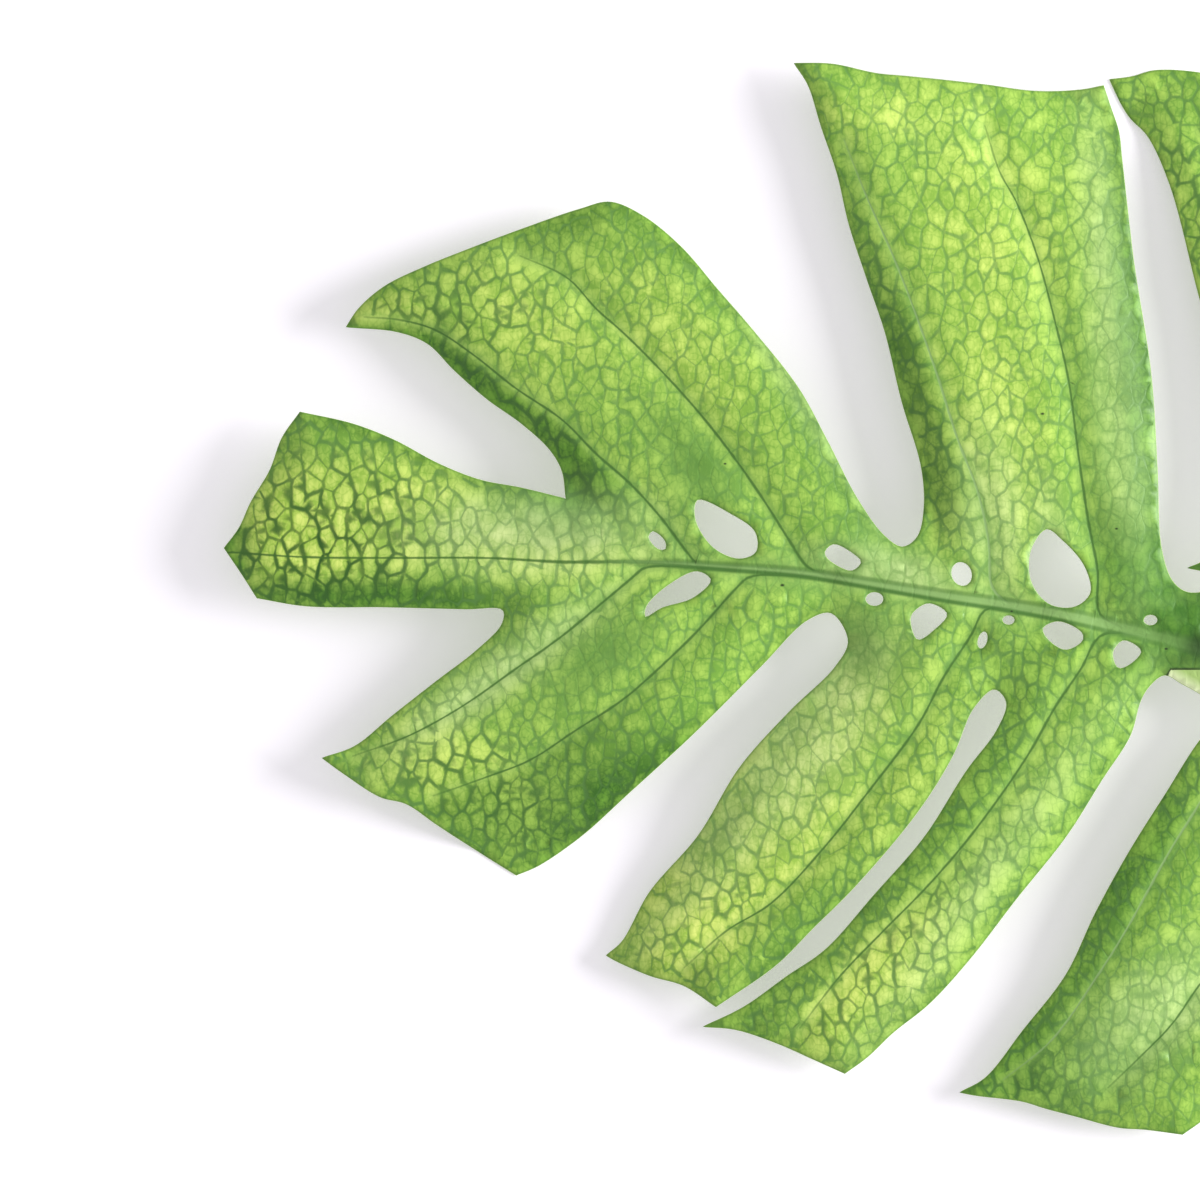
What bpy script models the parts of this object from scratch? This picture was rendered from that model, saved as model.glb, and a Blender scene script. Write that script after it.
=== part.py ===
"""An amydrium leaf, picked and laid on a table with its upper face up.

The leaf grew as one piece, so it is one solid: a thin, deeply cut blade with holes beside its
midrib, ribs on its underside, and the first stretch of its stalk, cut across.

X runs from the leaf's tip (low X) to the stalk, Y across the blade, and Z is up.  Plan positions
are in millimetres, measured from a point near the middle of the lobes, and MM turns them to metres.
"""

import bmesh
import bpy
import numpy as np
from mathutils import Vector
from mathutils.geometry import delaunay_2d_cdt

MM = 0.001

# Driving dimensions in millimetres
BLADE_THICKNESS = 0.8
CREST_HEIGHT = 17.0          # highest point of the midrib above the table
CREST_X = 40.0               # where along the leaf that point lies
CREST_FALL_LENGTH = 60.0     # distance from there in which the midrib falls by the first 1 mm
SIDE_DROOP = 9.0             # fall of a lobe's end below the midrib
HALF_WIDTH = 130.0           # distance from the midrib at which the lobes have fallen that far
MARGIN_CURL = 1.6            # how far a margin bends down
MARGIN_CURL_WIDTH = 5.0
VEIN_VALLEY = 0.9            # depth of the soft valley that a side vein lies in
VEIN_VALLEY_WIDTH = 4.0
MIDRIB_VALLEY = 1.2
MIDRIB_VALLEY_WIDTH = 5.0
MIDRIB_DEPTH_TIP = 0.5       # how far the midrib stands out below the blade
MIDRIB_DEPTH_BASE = 2.4
MIDRIB_HALF_WIDTH_TIP = 1.1
MIDRIB_HALF_WIDTH_BASE = 2.6
SIDE_VEIN_DEPTH = 0.7
SIDE_VEIN_HALF_WIDTH = 1.4
VEIN_GROOVE = 0.25           # depth of the narrow groove along a vein on the upper face

PETIOLE_RADIUS = 2.3
KNEE_RADIUS = 2.9            # the swollen joint between stalk and blade
PETIOLE_SIDES = 12

# Spacing of the mesh in millimetres
OUTLINE_STEP = 3.4
VEIN_STEP = 4.0
FIELD_STEP = 6.2
LEAST_TO_VEIN = 1.2          # least distances that a later mesh point keeps from the earlier ones
LEAST_TO_FLANK = 0.9
LEAST_TO_FIELD = 3.6

# The outline, clockwise from the leaf's tip.  Each stretch is a smooth curve through its points,
# and a sharp corner stands where one stretch ends and the next begins.
OUTLINE = {
    "tip, upper edge": [(-94, 13), (-90.25, 18), (-87.25, 24.5), (-82.5, 32.5), (-79.5, 40.5), (-75, 47)],
    "tip lobe, upper side": [(-75, 47), (-61.75, 44), (-51.5, 40), (-40.25, 34), (-30, 30), (-19.75, 28),
                             (-8.5, 25.25)],
    "lobe A, inner side": [(-8.5, 25.25), (-9.5, 32.25), (-12.5, 37.5), (-19.5, 44), (-28.25, 50.25),
                           (-36.5, 57.5), (-43, 64), (-50.5, 67), (-63.5, 68.25)],
    "lobe A, end and sinus": [(-63.5, 68.25), (-60.25, 73), (-53.75, 78.5), (-44, 83.25), (-34.75, 87),
                              (-19.5, 92.75), (-5, 97.75), (2.5, 99.5), (10.75, 96), (20.25, 88.25),
                              (29.25, 77.75), (38.5, 67), (49.5, 53), (56.75, 39.75), (64.25, 25.25),
                              (71, 16), (75.5, 13.25), (79.25, 15.75), (81, 23.25), (80.25, 33.5),
                              (75.5, 49.5), (71.25, 67), (66.75, 80.25), (62.25, 94), (59.25, 106.75),
                              (55.25, 118.5), (52, 128.75), (48.5, 134.25)],
    "lobe B, end": [(48.5, 134.25), (58.25, 134), (69, 131.75), (77.25, 131), (87.5, 130), (96.75, 129),
                    (109.25, 127.5), (121.25, 128), (126.25, 129)],
    "lobe B, base side": [(126.25, 129), (128, 123.75), (130, 117.5), (130.75, 110.25), (133.5, 84.75),
                          (137.75, 56.5), (139.25, 33), (140.25, 13), (143, 4.75), (146.5, 2), (151.5, 2.25),
                          (154.75, 4.5), (152, 6.75), (146.75, 8)],
    "lobe C, inner side": [(146.75, 8), (151, 10), (155, 16.25), (156.5, 30), (155, 50), (152.25, 66.25),
                           (149, 79.25), (142.75, 103.75), (137.25, 116.25), (133, 120.75), (130.75, 124.25),
                           (127.75, 130.5)],
    "lobe C, end and base": [(127.75, 130.5), (133.5, 131.25), (139, 132.75), (150, 132.25), (165.5, 128.5),
                             (182.5, 121), (196.25, 110), (202, 96.25), (202, 75), (196.25, 52.5), (187, 30),
                             (178, 10), (173, -3.75), (171, -16), (174, -26), (184, -32), (192, -44),
                             (194, -60), (190, -76), (182, -92), (173, -106), (161, -120.5),
                             (151.25, -129.75), (145.75, -133.75)],
    "lobe G, end": [(145.75, -133.75), (136.5, -132.5), (129.75, -132), (118.25, -129), (111.5, -127.25),
                    (105.75, -125.5), (94, -124), (90, -123.25)],
    "lobe G, inner side, and sinus": [(90, -123.25), (96.5, -119.5), (105.75, -107.75), (116.5, -93.75),
                                      (124, -78), (132.25, -63), (141.5, -48.25), (150, -35), (154.5, -30.5),
                                      (154.25, -26.5), (150, -23.5), (145.5, -21), (141, -18.75),
                                      (137.25, -21.5), (135, -25.25), (132.5, -33.75), (125.5, -44.75),
                                      (116.5, -59), (104, -74.75), (92.25, -90), (82.25, -101),
                                      (73.25, -108.25), (67, -114.25), (61.25, -118.5)],
    "lobe F, end": [(61.25, -118.5), (53.5, -115), (44.5, -111), (34, -107.5), (25.75, -106.75)],
    "slit between lobes F and E": [(25.75, -106.75), (36, -101.75), (46.5, -94.25), (56.5, -87.25),
                                   (68.25, -74), (81, -59.25), (91.5, -42.75), (99.25, -32.25),
                                   (101.5, -25.5), (98.5, -22.25), (93.25, -27), (88, -39), (79.25, -53),
                                   (63.75, -71.5), (53.25, -82), (44, -91.25), (29, -101.75)],
    "lobe E, end": [(29, -101.75), (21, -96.5), (12.5, -94), (4.25, -90.5), (1.5, -89)],
    "lobe E, inner side, and sinus": [(1.5, -89), (5.5, -85.5), (12.5, -73), (24.5, -59), (35, -41.75),
                                      (47.5, -27.75), (58.75, -16.75), (62, -10.25), (57.75, -3.25),
                                      (51.75, -5), (40, -16.75), (23, -33.75), (7, -48.5), (-4.5, -59),
                                      (-15.25, -66.5), (-21, -69)],
    "lobe D, end": [(-21, -69), (-29, -64), (-40.5, -56.5), (-48.5, -51), (-55, -49.25), (-64, -43.5),
                    (-69.5, -39.5)],
    "lobe D, inner side": [(-69.5, -39.5), (-61.25, -36.5), (-52, -29), (-40.5, -20), (-30.75, -12.5),
                           (-24.5, -6), (-24.25, -2.5), (-33.75, -2.25), (-54, -1.75), (-73.5, -1.5),
                           (-85.75, 0.5)],
    "tip, lower edge": [(-85.75, 0.5), (-89.25, 6), (-94, 13)],
}

# Holes with an outline of their own
CUT_HOLES = [
    [(12, 15.75), (13, 17.25), (15, 16.25), (16.5, 14.25), (16.25, 12.5), (14.25, 12.75)],
    [(24.25, 25), (32.75, 21.5), (38.75, 17), (39, 12), (34.75, 10.25), (28.25, 13), (23.75, 20)],
    [(11.25, -4.25), (11.5, -1.5), (17.25, 4), (24.25, 7.25), (27.75, 5), (23.25, 0.5), (15.5, -2)],
    [(56, 12), (58.25, 14), (63.75, 11.25), (65.25, 9.5), (62.75, 7.25), (56.75, 10.25)],
    [(77.5, -6), (77.75, -3.5), (82, -0.75), (86.75, -3.5), (83.75, -7.25), (79.25, -10)],
    [(111.5, 17.75), (107.5, 12.5), (107.5, 4.75), (112, -1), (118.5, -1.75), (122.5, 1.75), (121, 8.5),
     (115.5, 15)],
    [(110.5, -7), (114.5, -5.25), (120.5, -8.25), (120.5, -10.25), (116, -12.5), (111.25, -9.25)],
    [(128, -13), (130.75, -10), (135.25, -12.75), (131.75, -16.5), (129.25, -17)],
]
# Small oval holes: centre X and Y, half-length along X, half-length along Y, turn in degrees
OVAL_HOLES = [
    (68.5, 0.25, 2.3, 1.8, 0),
    (90.25, 6.5, 2.6, 3.1, 20),
    (95.5, -10, 1.25, 2.25, -15),
    (102, -5, 1.6, 1.25, 0),
    (137.5, -5, 1.8, 1.4, 0),
    (152.5, -6.5, 2.4, 1.5, 10),
]

MIDRIB = [(-93, 12), (-74.25, 10.75), (-49, 10.5), (-28.5, 10.5), (-9.5, 9.5), (11, 9.5), (31.5, 8.25),
          (50.5, 6.75), (71, 3.5), (86.25, 1), (100, -1), (114.5, -3.5), (133.75, -7.75), (150, -12),
          (171, -16)]

# Side veins, each from the midrib outwards
SIDE_VEINS = {
    "A front": [(24, 9), (20.25, 13.75), (15, 20.75), (7.5, 29), (-0.75, 36.25), (-9.5, 45), (-21.25, 53),
                (-32, 61.5), (-41.25, 67.5), (-50, 70), (-59, 70.75)],
    "A back": [(56, 6), (51.5, 8.5), (47.25, 14.75), (41.25, 24.25), (34.75, 33.75), (25.75, 45.5),
               (15.25, 57.25), (5.5, 67), (-0.75, 72.5), (-8.25, 80.5), (-20, 86)],
    "B front": [(102.5, -1.5), (98, 3), (97, 14.5), (94.5, 26.5), (89, 41), (84, 56.75), (78, 73.75),
                (73, 86.5), (66.75, 100.5), (61, 115)],
    "B back": [(130, -7), (124.75, -3.5), (124.25, 7.5), (122.25, 18), (119.5, 36), (117, 55),
               (113.75, 69.25), (109.25, 86), (104, 99.75), (100, 107), (96.25, 118.75)],
    "C front": [(158, -13.5), (164, 10), (167, 40), (165, 70), (158, 98), (150, 118)],
    "C back": [(169, -15.5), (178, 15), (186, 42), (187, 70), (182, 92), (173, 110)],
    "D front": [(32, 8), (11, 8), (8.5, 6), (0.75, -0.5), (-9.5, -9), (-21.5, -17.5), (-34.75, -26.75),
                (-48, -34), (-61.75, -39)],
    "D back": [(54.75, 6), (37.25, 5.75), (34.25, 3.25), (25, -7), (15, -16.75), (5.5, -25), (-6, -32.5),
               (-17.5, -40), (-29, -44.5), (-41.75, -49)],
    "E": [(108.75, -3), (96.5, -2.25), (92.5, -9), (85.75, -19.25), (79.5, -31), (66.5, -48.5), (56, -61.75),
          (42.75, -75.75), (31.5, -82.75), (21, -92)],
    "F": [(137.5, -9), (125.25, -8.75), (120, -17.25), (113.75, -26.5), (106.5, -39.25), (93.25, -58),
          (82.25, -71), (70.5, -83), (60, -94), (50, -107)],
    "G front": [(164, -15), (160, -30), (152, -47), (142.25, -63), (131.5, -82.5), (124, -94.5),
                (113, -110), (101, -120)],
    "G back": [(169, -16), (177, -40), (173, -62), (163, -80), (150, -96), (143, -106), (134.75, -114.5),
               (127, -122)],
}

# Strips that bend down along the outer side of a vein: vein, side (1 is left of its way out),
# depth and width in millimetres
BENT_STRIPS = [
    ("A front", 1, 3.5, 9.0),
    ("B front", 1, 4.5, 12.0),
    ("D back", 1, 3.0, 22.0),
    ("E", -1, 2.5, 22.0),
    ("G front", -1, 3.0, 12.0),
]
PAST_VEIN_END = 40.0

# Where the leaf lies on the table: X, Y, the dip that takes it down there, and the dip's radius
LOW_SPOTS = [
    (-19, -66, 9.9, 30.0),
    (125, 129, 4.9, 24.0),
]
# Places that are held up, as dips of negative depth
LIFTED_SPOTS = [
    (196, 100, -4.5, 40.0),
    (148, -128, -3.0, 35.0),
    (48, 134, -3.5, 30.0),
]

# The stalk's axis from inside the midrib to the cut end, with its height above the table
PETIOLE_AXIS = [(140, -9.5, 11.0), (156, -13.4, 9.7), (171, -16.2, 8.6), (184, -18.2, 7.3),
                (198, -20.2, 5.1), (211, -22.3, 3.1), (224, -24.6, 2.15), (238, -27.4, 2.15),
                (252, -30.6, 2.15)]
PETIOLE_RADII = [1.5, 2.2, KNEE_RADIUS, KNEE_RADIUS, PETIOLE_RADIUS, PETIOLE_RADIUS, PETIOLE_RADIUS,
                 PETIOLE_RADIUS, PETIOLE_RADIUS]

LEAF_GREEN = (0.30, 0.56, 0.06)


def clear_scene():
    for item in list(bpy.data.objects):
        bpy.data.objects.remove(item, do_unlink=True)


def leaf_material():
    """Fresh leathery leaf: mid green with a soft wax gloss."""
    material = bpy.data.materials.new("fresh leaf")
    material.use_nodes = True
    shader = material.node_tree.nodes["Principled BSDF"]
    shader.inputs["Base Color"].default_value = (*LEAF_GREEN, 1.0)
    shader.inputs["Roughness"].default_value = 0.45
    shader.inputs["Metallic"].default_value = 0.0
    return material


def smooth_curve(points, step):
    """Catmull-Rom curve through the points, its knots set by the square root of the chords."""
    points = np.array(points, float)
    ends = np.vstack([2 * points[0] - points[1], points, 2 * points[-1] - points[-2]])
    runs = []
    for before, start, end, after in zip(ends, ends[1:], ends[2:], ends[3:]):
        knots = [np.sqrt(np.linalg.norm(b - a)) for a, b in ((before, start), (start, end), (end, after))]
        leave = (start - before) / knots[0] - (end - before) / (knots[0] + knots[1]) + (end - start) / knots[1]
        reach = (end - start) / knots[1] - (after - start) / (knots[1] + knots[2]) + (after - end) / knots[2]
        count = max(1, round(np.linalg.norm(end - start) / step))
        t = (np.arange(count) / count)[:, None]
        runs.append((2 * t**3 - 3 * t**2 + 1) * start + (t**3 - 2 * t**2 + t) * leave * knots[1]
                    + (3 * t**2 - 2 * t**3) * end + (t**3 - t**2) * reach * knots[1])
    return np.vstack(runs + [points[-1:]])


def even_curve(points, step):
    """The smooth curve through the points, cut into equal lengths near the step."""
    fine = smooth_curve(points, step / 8)
    length = np.concatenate([[0], np.cumsum(np.linalg.norm(np.diff(fine, axis=0), axis=1))])
    stations = np.linspace(0, length[-1], max(2, round(length[-1] / step) + 1))
    return np.column_stack([np.interp(stations, length, fine[:, axis]) for axis in range(fine.shape[1])])


def closed_curve(points, step):
    """A smooth ring through the points: the curve runs once round and a little on, then is trimmed."""
    overlap = 2
    ring = points[-overlap:] + points + points[:overlap + 1]
    fine = [smooth_curve(ring[i:i + 4], step / 8) for i in range(len(ring) - 3)]
    middle = []
    for part, inner in zip(fine, zip(ring[1:], ring[2:])):
        first = np.argmin(np.linalg.norm(part - inner[0], axis=1))
        last = np.argmin(np.linalg.norm(part - inner[1], axis=1))
        middle.append(part[first:last])
    loop = np.vstack(middle[1:1 + len(points)])
    loop = np.vstack([loop, loop[:1]])
    length = np.concatenate([[0], np.cumsum(np.linalg.norm(np.diff(loop, axis=0), axis=1))])
    count = max(8, round(length[-1] / step))
    stations = np.linspace(0, length[-1], count, endpoint=False)
    return np.column_stack([np.interp(stations, length, loop[:, axis]) for axis in (0, 1)])


def oval(x, y, half_x, half_y, turn):
    """Eight or more points of an ellipse, turned about its centre."""
    angle = np.linspace(0, 2 * np.pi, 9)[:-1]
    local = np.column_stack([half_x * np.cos(angle), half_y * np.sin(angle)])
    cosine, sine = np.cos(np.radians(turn)), np.sin(np.radians(turn))
    return local @ np.array([[cosine, sine], [-sine, cosine]]) + (x, y)


def nearest_on(line, places):
    """Distance from each place to the polyline, and its sign: 1 on the left of the line's way."""
    start, run = line[:-1], np.diff(line, axis=0)
    offset = places[:, None, :] - start[None]
    along = np.clip((offset * run).sum(-1) / (run**2).sum(-1), 0, 1)
    gap = offset - along[..., None] * run
    distance = np.linalg.norm(gap, axis=-1)
    nearest = distance.argmin(1)
    rows = np.arange(len(places))
    side = np.sign(run[nearest, 0] * offset[rows, nearest, 1] - run[nearest, 1] * offset[rows, nearest, 0])
    return distance[rows, nearest], side


def past_end(line):
    """The vein carried straight on past its end, so that its two sides stay apart up to the margin."""
    way = line[-1] - line[-2]
    return np.vstack([line, line[-1] + way / np.linalg.norm(way) * PAST_VEIN_END])


def inside(loops, places):
    """Even-odd test: True where a ray to +X crosses the loops an odd number of times."""
    crossings = np.zeros(len(places), int)
    for loop in loops:
        low, high = loop, np.roll(loop, -1, axis=0)
        spans = (low[:, 1] > places[:, 1, None]) != (high[:, 1] > places[:, 1, None])
        rise = np.where(high[:, 1] == low[:, 1], 1.0, high[:, 1] - low[:, 1])
        cross_x = low[:, 0] + (places[:, 1, None] - low[:, 1]) / rise * (high[:, 0] - low[:, 0])
        crossings += (spans & (cross_x > places[:, 0, None])).sum(1)
    return crossings % 2 == 1


def clear_of(places, candidates, least):
    """The candidates that keep the least distance from all the places and from each other."""
    kept = []
    for candidate in candidates:
        near = np.vstack([places] + kept)
        if np.min(np.sum((near - candidate) ** 2, axis=1)) >= least**2:
            kept.append(candidate[None])
    return np.vstack(kept) if kept else np.zeros((0, 2))


def midrib_share(x):
    """0 at the leaf's tip, 1 where the stalk joins the blade."""
    return np.clip((x - MIDRIB[0][0]) / (MIDRIB[-1][0] - MIDRIB[0][0]), 0, 1)


def beside(line, is_midrib):
    """The two lines that run beside a vein at its half-width; the midrib's widens to the base."""
    way = np.gradient(line, axis=0)
    normal = np.column_stack([-way[:, 1], way[:, 0]]) / np.linalg.norm(way, axis=1)[:, None]
    width = midrib_half_width(line[:, :1]) if is_midrib else SIDE_VEIN_HALF_WIDTH
    return [line + normal * width, line - normal * width]


def midrib_half_width(x):
    return MIDRIB_HALF_WIDTH_TIP + (MIDRIB_HALF_WIDTH_BASE - MIDRIB_HALF_WIDTH_TIP) * midrib_share(x)


class Form:
    """The blade's height at any place in plan, from its margin, its veins and a few soft dips."""

    def __init__(self, margin, midrib, side_veins):
        self.margin = margin
        self.midrib = midrib
        self.side_veins = side_veins

    def middle(self, places):
        """Arch along the midrib, less the droop of the lobes, the curl of the margin, the valleys
        along the veins, the strips bent down beside some veins, and the dips."""
        x, y = places.T
        midrib_distance, _ = nearest_on(self.midrib, places)
        across = y - np.interp(x, self.midrib[:, 0], self.midrib[:, 1])
        height = CREST_HEIGHT - ((x - CREST_X) / CREST_FALL_LENGTH) ** 2
        height -= SIDE_DROOP * np.abs(across / HALF_WIDTH) ** 1.8
        height -= MIDRIB_VALLEY * np.exp(-(midrib_distance / MIDRIB_VALLEY_WIDTH) ** 2)
        height -= MARGIN_CURL * np.exp(-(nearest_on(self.margin, places)[0] / MARGIN_CURL_WIDTH) ** 2)
        height -= VEIN_VALLEY * np.exp(-(self.side_vein_distance(places) / VEIN_VALLEY_WIDTH) ** 2)
        for name, strip_side, depth, width in BENT_STRIPS:
            distance, side = nearest_on(past_end(self.side_veins[name]), places)
            share = np.where(side == strip_side, np.clip(distance / width, 0, 1), 0)
            far_from_midrib = 1 - np.exp(-(midrib_distance / 20) ** 2)
            in_reach = np.exp(-np.clip(distance / width - 1, 0, None) ** 2 * 4)
            height -= depth * share**1.5 * far_from_midrib * in_reach
        for spot_x, spot_y, depth, radius in LOW_SPOTS + LIFTED_SPOTS:
            height -= depth * np.exp(-((x - spot_x) ** 2 + (y - spot_y) ** 2) / radius**2)
        return height

    def side_vein_distance(self, places):
        return np.min([nearest_on(line, places)[0] for line in self.side_veins.values()], axis=0)

    def faces(self, places):
        """Heights of the under and upper face: ribs stand out below, narrow grooves run above."""
        middle = self.middle(places)
        depth = MIDRIB_DEPTH_TIP + (MIDRIB_DEPTH_BASE - MIDRIB_DEPTH_TIP) * midrib_share(places[:, 0])
        midrib = np.clip(1 - nearest_on(self.midrib, places)[0] / midrib_half_width(places[:, 0]), 0, 1)
        side = np.clip(1 - self.side_vein_distance(places) / SIDE_VEIN_HALF_WIDTH, 0, 1)
        under = middle - BLADE_THICKNESS / 2 - np.maximum(depth * midrib, SIDE_VEIN_DEPTH * side)
        upper = middle + BLADE_THICKNESS / 2 - VEIN_GROOVE * np.maximum(midrib, side)
        under = np.maximum(under, 0)
        return under, np.maximum(upper, under + BLADE_THICKNESS)


def blade_mesh():
    """The blade: one set of triangles in plan, used for both faces, with a rim between them."""
    outline = np.vstack([even_curve(points, OUTLINE_STEP)[:-1] for points in OUTLINE.values()])
    holes = [closed_curve(points, OUTLINE_STEP) for points in CUT_HOLES]
    holes += [oval(*hole) for hole in OVAL_HOLES]
    loops = [outline] + holes
    midrib = even_curve(MIDRIB, VEIN_STEP)
    side_veins = {name: even_curve(points, VEIN_STEP) for name, points in SIDE_VEINS.items()}
    form = Form(np.vstack([outline, outline[:1]]), midrib, side_veins)

    rim = np.vstack(loops)
    ring_sizes = [len(loop) for loop in loops]
    starts = np.cumsum([0] + ring_sizes[:-1])
    edges = [(int(start) + i, int(start) + (i + 1) % size) for start, size in zip(starts, ring_sizes)
             for i in range(size)]
    places = rim
    for line in [midrib[1:-1]] + [line[1:] for line in side_veins.values()]:
        kept = clear_of(places, line[inside(loops, line)], LEAST_TO_VEIN)
        first = len(places)
        gaps = np.linalg.norm(np.diff(kept, axis=0), axis=1)
        edges += [(first + i, first + i + 1) for i, gap in enumerate(gaps) if gap < 1.5 * VEIN_STEP]
        places = np.vstack([places, kept])
    for line in [midrib] + list(side_veins.values()):
        for flank in beside(line, line is midrib):
            places = np.vstack([places, clear_of(places, flank[inside(loops, flank)], LEAST_TO_FLANK)])
    columns = np.arange(-100, 210, FIELD_STEP)
    rows = np.arange(-140, 140, FIELD_STEP * np.sqrt(3) / 2)
    field = np.array([(x + (i % 2) * FIELD_STEP / 2, y) for i, y in enumerate(rows) for x in columns])
    places = np.vstack([places, clear_of(places, field[inside(loops, field)], LEAST_TO_FIELD)])

    found = delaunay_2d_cdt([Vector(place) for place in places], edges, [], 0, 1e-6)
    plan = np.array([tuple(place) for place in found[0]])
    triangles = np.array([tuple(face) for face in found[2]])
    triangles = triangles[inside(loops, plan[triangles].mean(1))]

    under, upper = form.faces(plan)
    count = len(plan)
    mesh_edges = np.vstack([triangles[:, [0, 1]], triangles[:, [1, 2]], triangles[:, [2, 0]]])
    backwards = {tuple(edge) for edge in mesh_edges[:, ::-1].tolist()}
    border = [edge for edge in mesh_edges.tolist() if tuple(edge) not in backwards]
    vertices = np.vstack([np.column_stack([plan, upper]), np.column_stack([plan, under])]) * MM
    faces = triangles.tolist() + (triangles[:, ::-1] + count).tolist()
    faces += [(b, a, a + count, b + count) for a, b in border]

    mesh = bpy.data.meshes.new("blade")
    mesh.from_pydata(vertices.tolist(), [], faces)
    tidy = bmesh.new()
    tidy.from_mesh(mesh)
    loose = [vertex for vertex in tidy.verts if not vertex.link_faces]
    bmesh.ops.delete(tidy, geom=loose, context="VERTS")
    bmesh.ops.triangulate(tidy, faces=[face for face in tidy.faces if len(face.verts) > 3])
    bmesh.ops.recalc_face_normals(tidy, faces=tidy.faces)
    tidy.to_mesh(mesh)
    tidy.free()
    return mesh


def petiole_object():
    """The stalk: a tube along its axis with the swollen knee, made a mesh, its underside flat
    where it lies on the table."""
    curve = bpy.data.curves.new("petiole", "CURVE")
    curve.dimensions = "3D"
    curve.bevel_depth = MM
    curve.bevel_resolution = (PETIOLE_SIDES - 4) // 2
    curve.use_fill_caps = True
    curve.resolution_u = 1
    axis = even_curve(PETIOLE_AXIS, 7.0)
    knots = np.array(PETIOLE_AXIS)[:, 0]
    radii = np.interp(axis[:, 0], knots, PETIOLE_RADII)
    spline = curve.splines.new("POLY")
    spline.points.add(len(axis) - 1)
    for point, place, radius in zip(spline.points, axis, radii):
        point.co = (*(place * MM), 1.0)
        point.radius = radius
        point.tilt = np.pi / PETIOLE_SIDES
    tube = bpy.data.objects.new("petiole curve", curve)
    bpy.context.collection.objects.link(tube)
    evaluated = tube.evaluated_get(bpy.context.evaluated_depsgraph_get())
    mesh = bpy.data.meshes.new_from_object(evaluated)
    bpy.data.objects.remove(tube, do_unlink=True)
    weld = bmesh.new()
    weld.from_mesh(mesh)
    bmesh.ops.remove_doubles(weld, verts=weld.verts, dist=1e-6)
    for vertex in weld.verts:
        vertex.co.z = max(vertex.co.z, 0.0)
    bmesh.ops.recalc_face_normals(weld, faces=weld.faces)
    weld.to_mesh(mesh)
    weld.free()
    return bpy.data.objects.new("petiole", mesh)


def centre_on_origin(mesh):
    """Moves the mesh so that the middle of its box stands over the origin, its lowest point at 0."""
    corners = np.array([vertex.co[:] for vertex in mesh.vertices])
    low, high = corners.min(0), corners.max(0)
    shift = Vector(((low[0] + high[0]) / 2, (low[1] + high[1]) / 2, low[2]))
    for vertex in mesh.vertices:
        vertex.co -= shift


def build_leaf():
    clear_scene()
    collection = bpy.data.collections.new("amydrium leaf")
    bpy.context.scene.collection.children.link(collection)
    leaf = bpy.data.objects.new("leaf", blade_mesh())
    collection.objects.link(leaf)

    petiole = petiole_object()
    collection.objects.link(petiole)
    join = leaf.modifiers.new("stalk grown into the midrib", "BOOLEAN")
    join.operation = "UNION"
    join.solver = "EXACT"
    join.object = petiole
    evaluated = leaf.evaluated_get(bpy.context.evaluated_depsgraph_get())
    joined = bpy.data.meshes.new_from_object(evaluated)
    leaf.modifiers.clear()
    leaf.data = joined
    joined.name = "leaf"
    bpy.data.objects.remove(petiole, do_unlink=True)

    centre_on_origin(joined)
    joined.materials.clear()
    joined.materials.append(leaf_material())
    joined.shade_smooth()
    joined.set_sharp_from_angle(angle=np.radians(50))
    return leaf


build_leaf()
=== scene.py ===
import bpy
import numpy as np
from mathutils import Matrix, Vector
from mathutils.geometry import delaunay_2d_cdt


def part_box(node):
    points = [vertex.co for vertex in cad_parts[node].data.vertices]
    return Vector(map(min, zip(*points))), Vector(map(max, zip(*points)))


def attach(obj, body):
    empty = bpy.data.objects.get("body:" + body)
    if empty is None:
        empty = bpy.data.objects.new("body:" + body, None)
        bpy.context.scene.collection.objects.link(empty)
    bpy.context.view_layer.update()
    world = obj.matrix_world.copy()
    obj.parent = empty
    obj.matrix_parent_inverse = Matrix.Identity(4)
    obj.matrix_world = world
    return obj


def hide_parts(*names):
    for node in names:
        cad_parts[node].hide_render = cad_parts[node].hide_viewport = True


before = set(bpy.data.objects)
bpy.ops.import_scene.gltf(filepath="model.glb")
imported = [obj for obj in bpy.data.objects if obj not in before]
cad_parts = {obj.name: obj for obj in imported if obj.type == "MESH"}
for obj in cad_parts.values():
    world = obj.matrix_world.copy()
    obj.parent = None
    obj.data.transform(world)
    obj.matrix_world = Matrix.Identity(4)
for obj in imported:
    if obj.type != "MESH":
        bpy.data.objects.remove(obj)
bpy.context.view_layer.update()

# The blade's plan.  An amydrium blade grows whole and is pierced and split as it opens: long lobes
# with a hooked tip and a blunt end, round-ended gaps between them, and holes beside the midrib.
# Plan positions are in millimetres, as in the part's source: X from the tip to the stalk, Y across.
MM = 0.001
PLAN_LOW_CORNER = (-94.0, -133.75)
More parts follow.
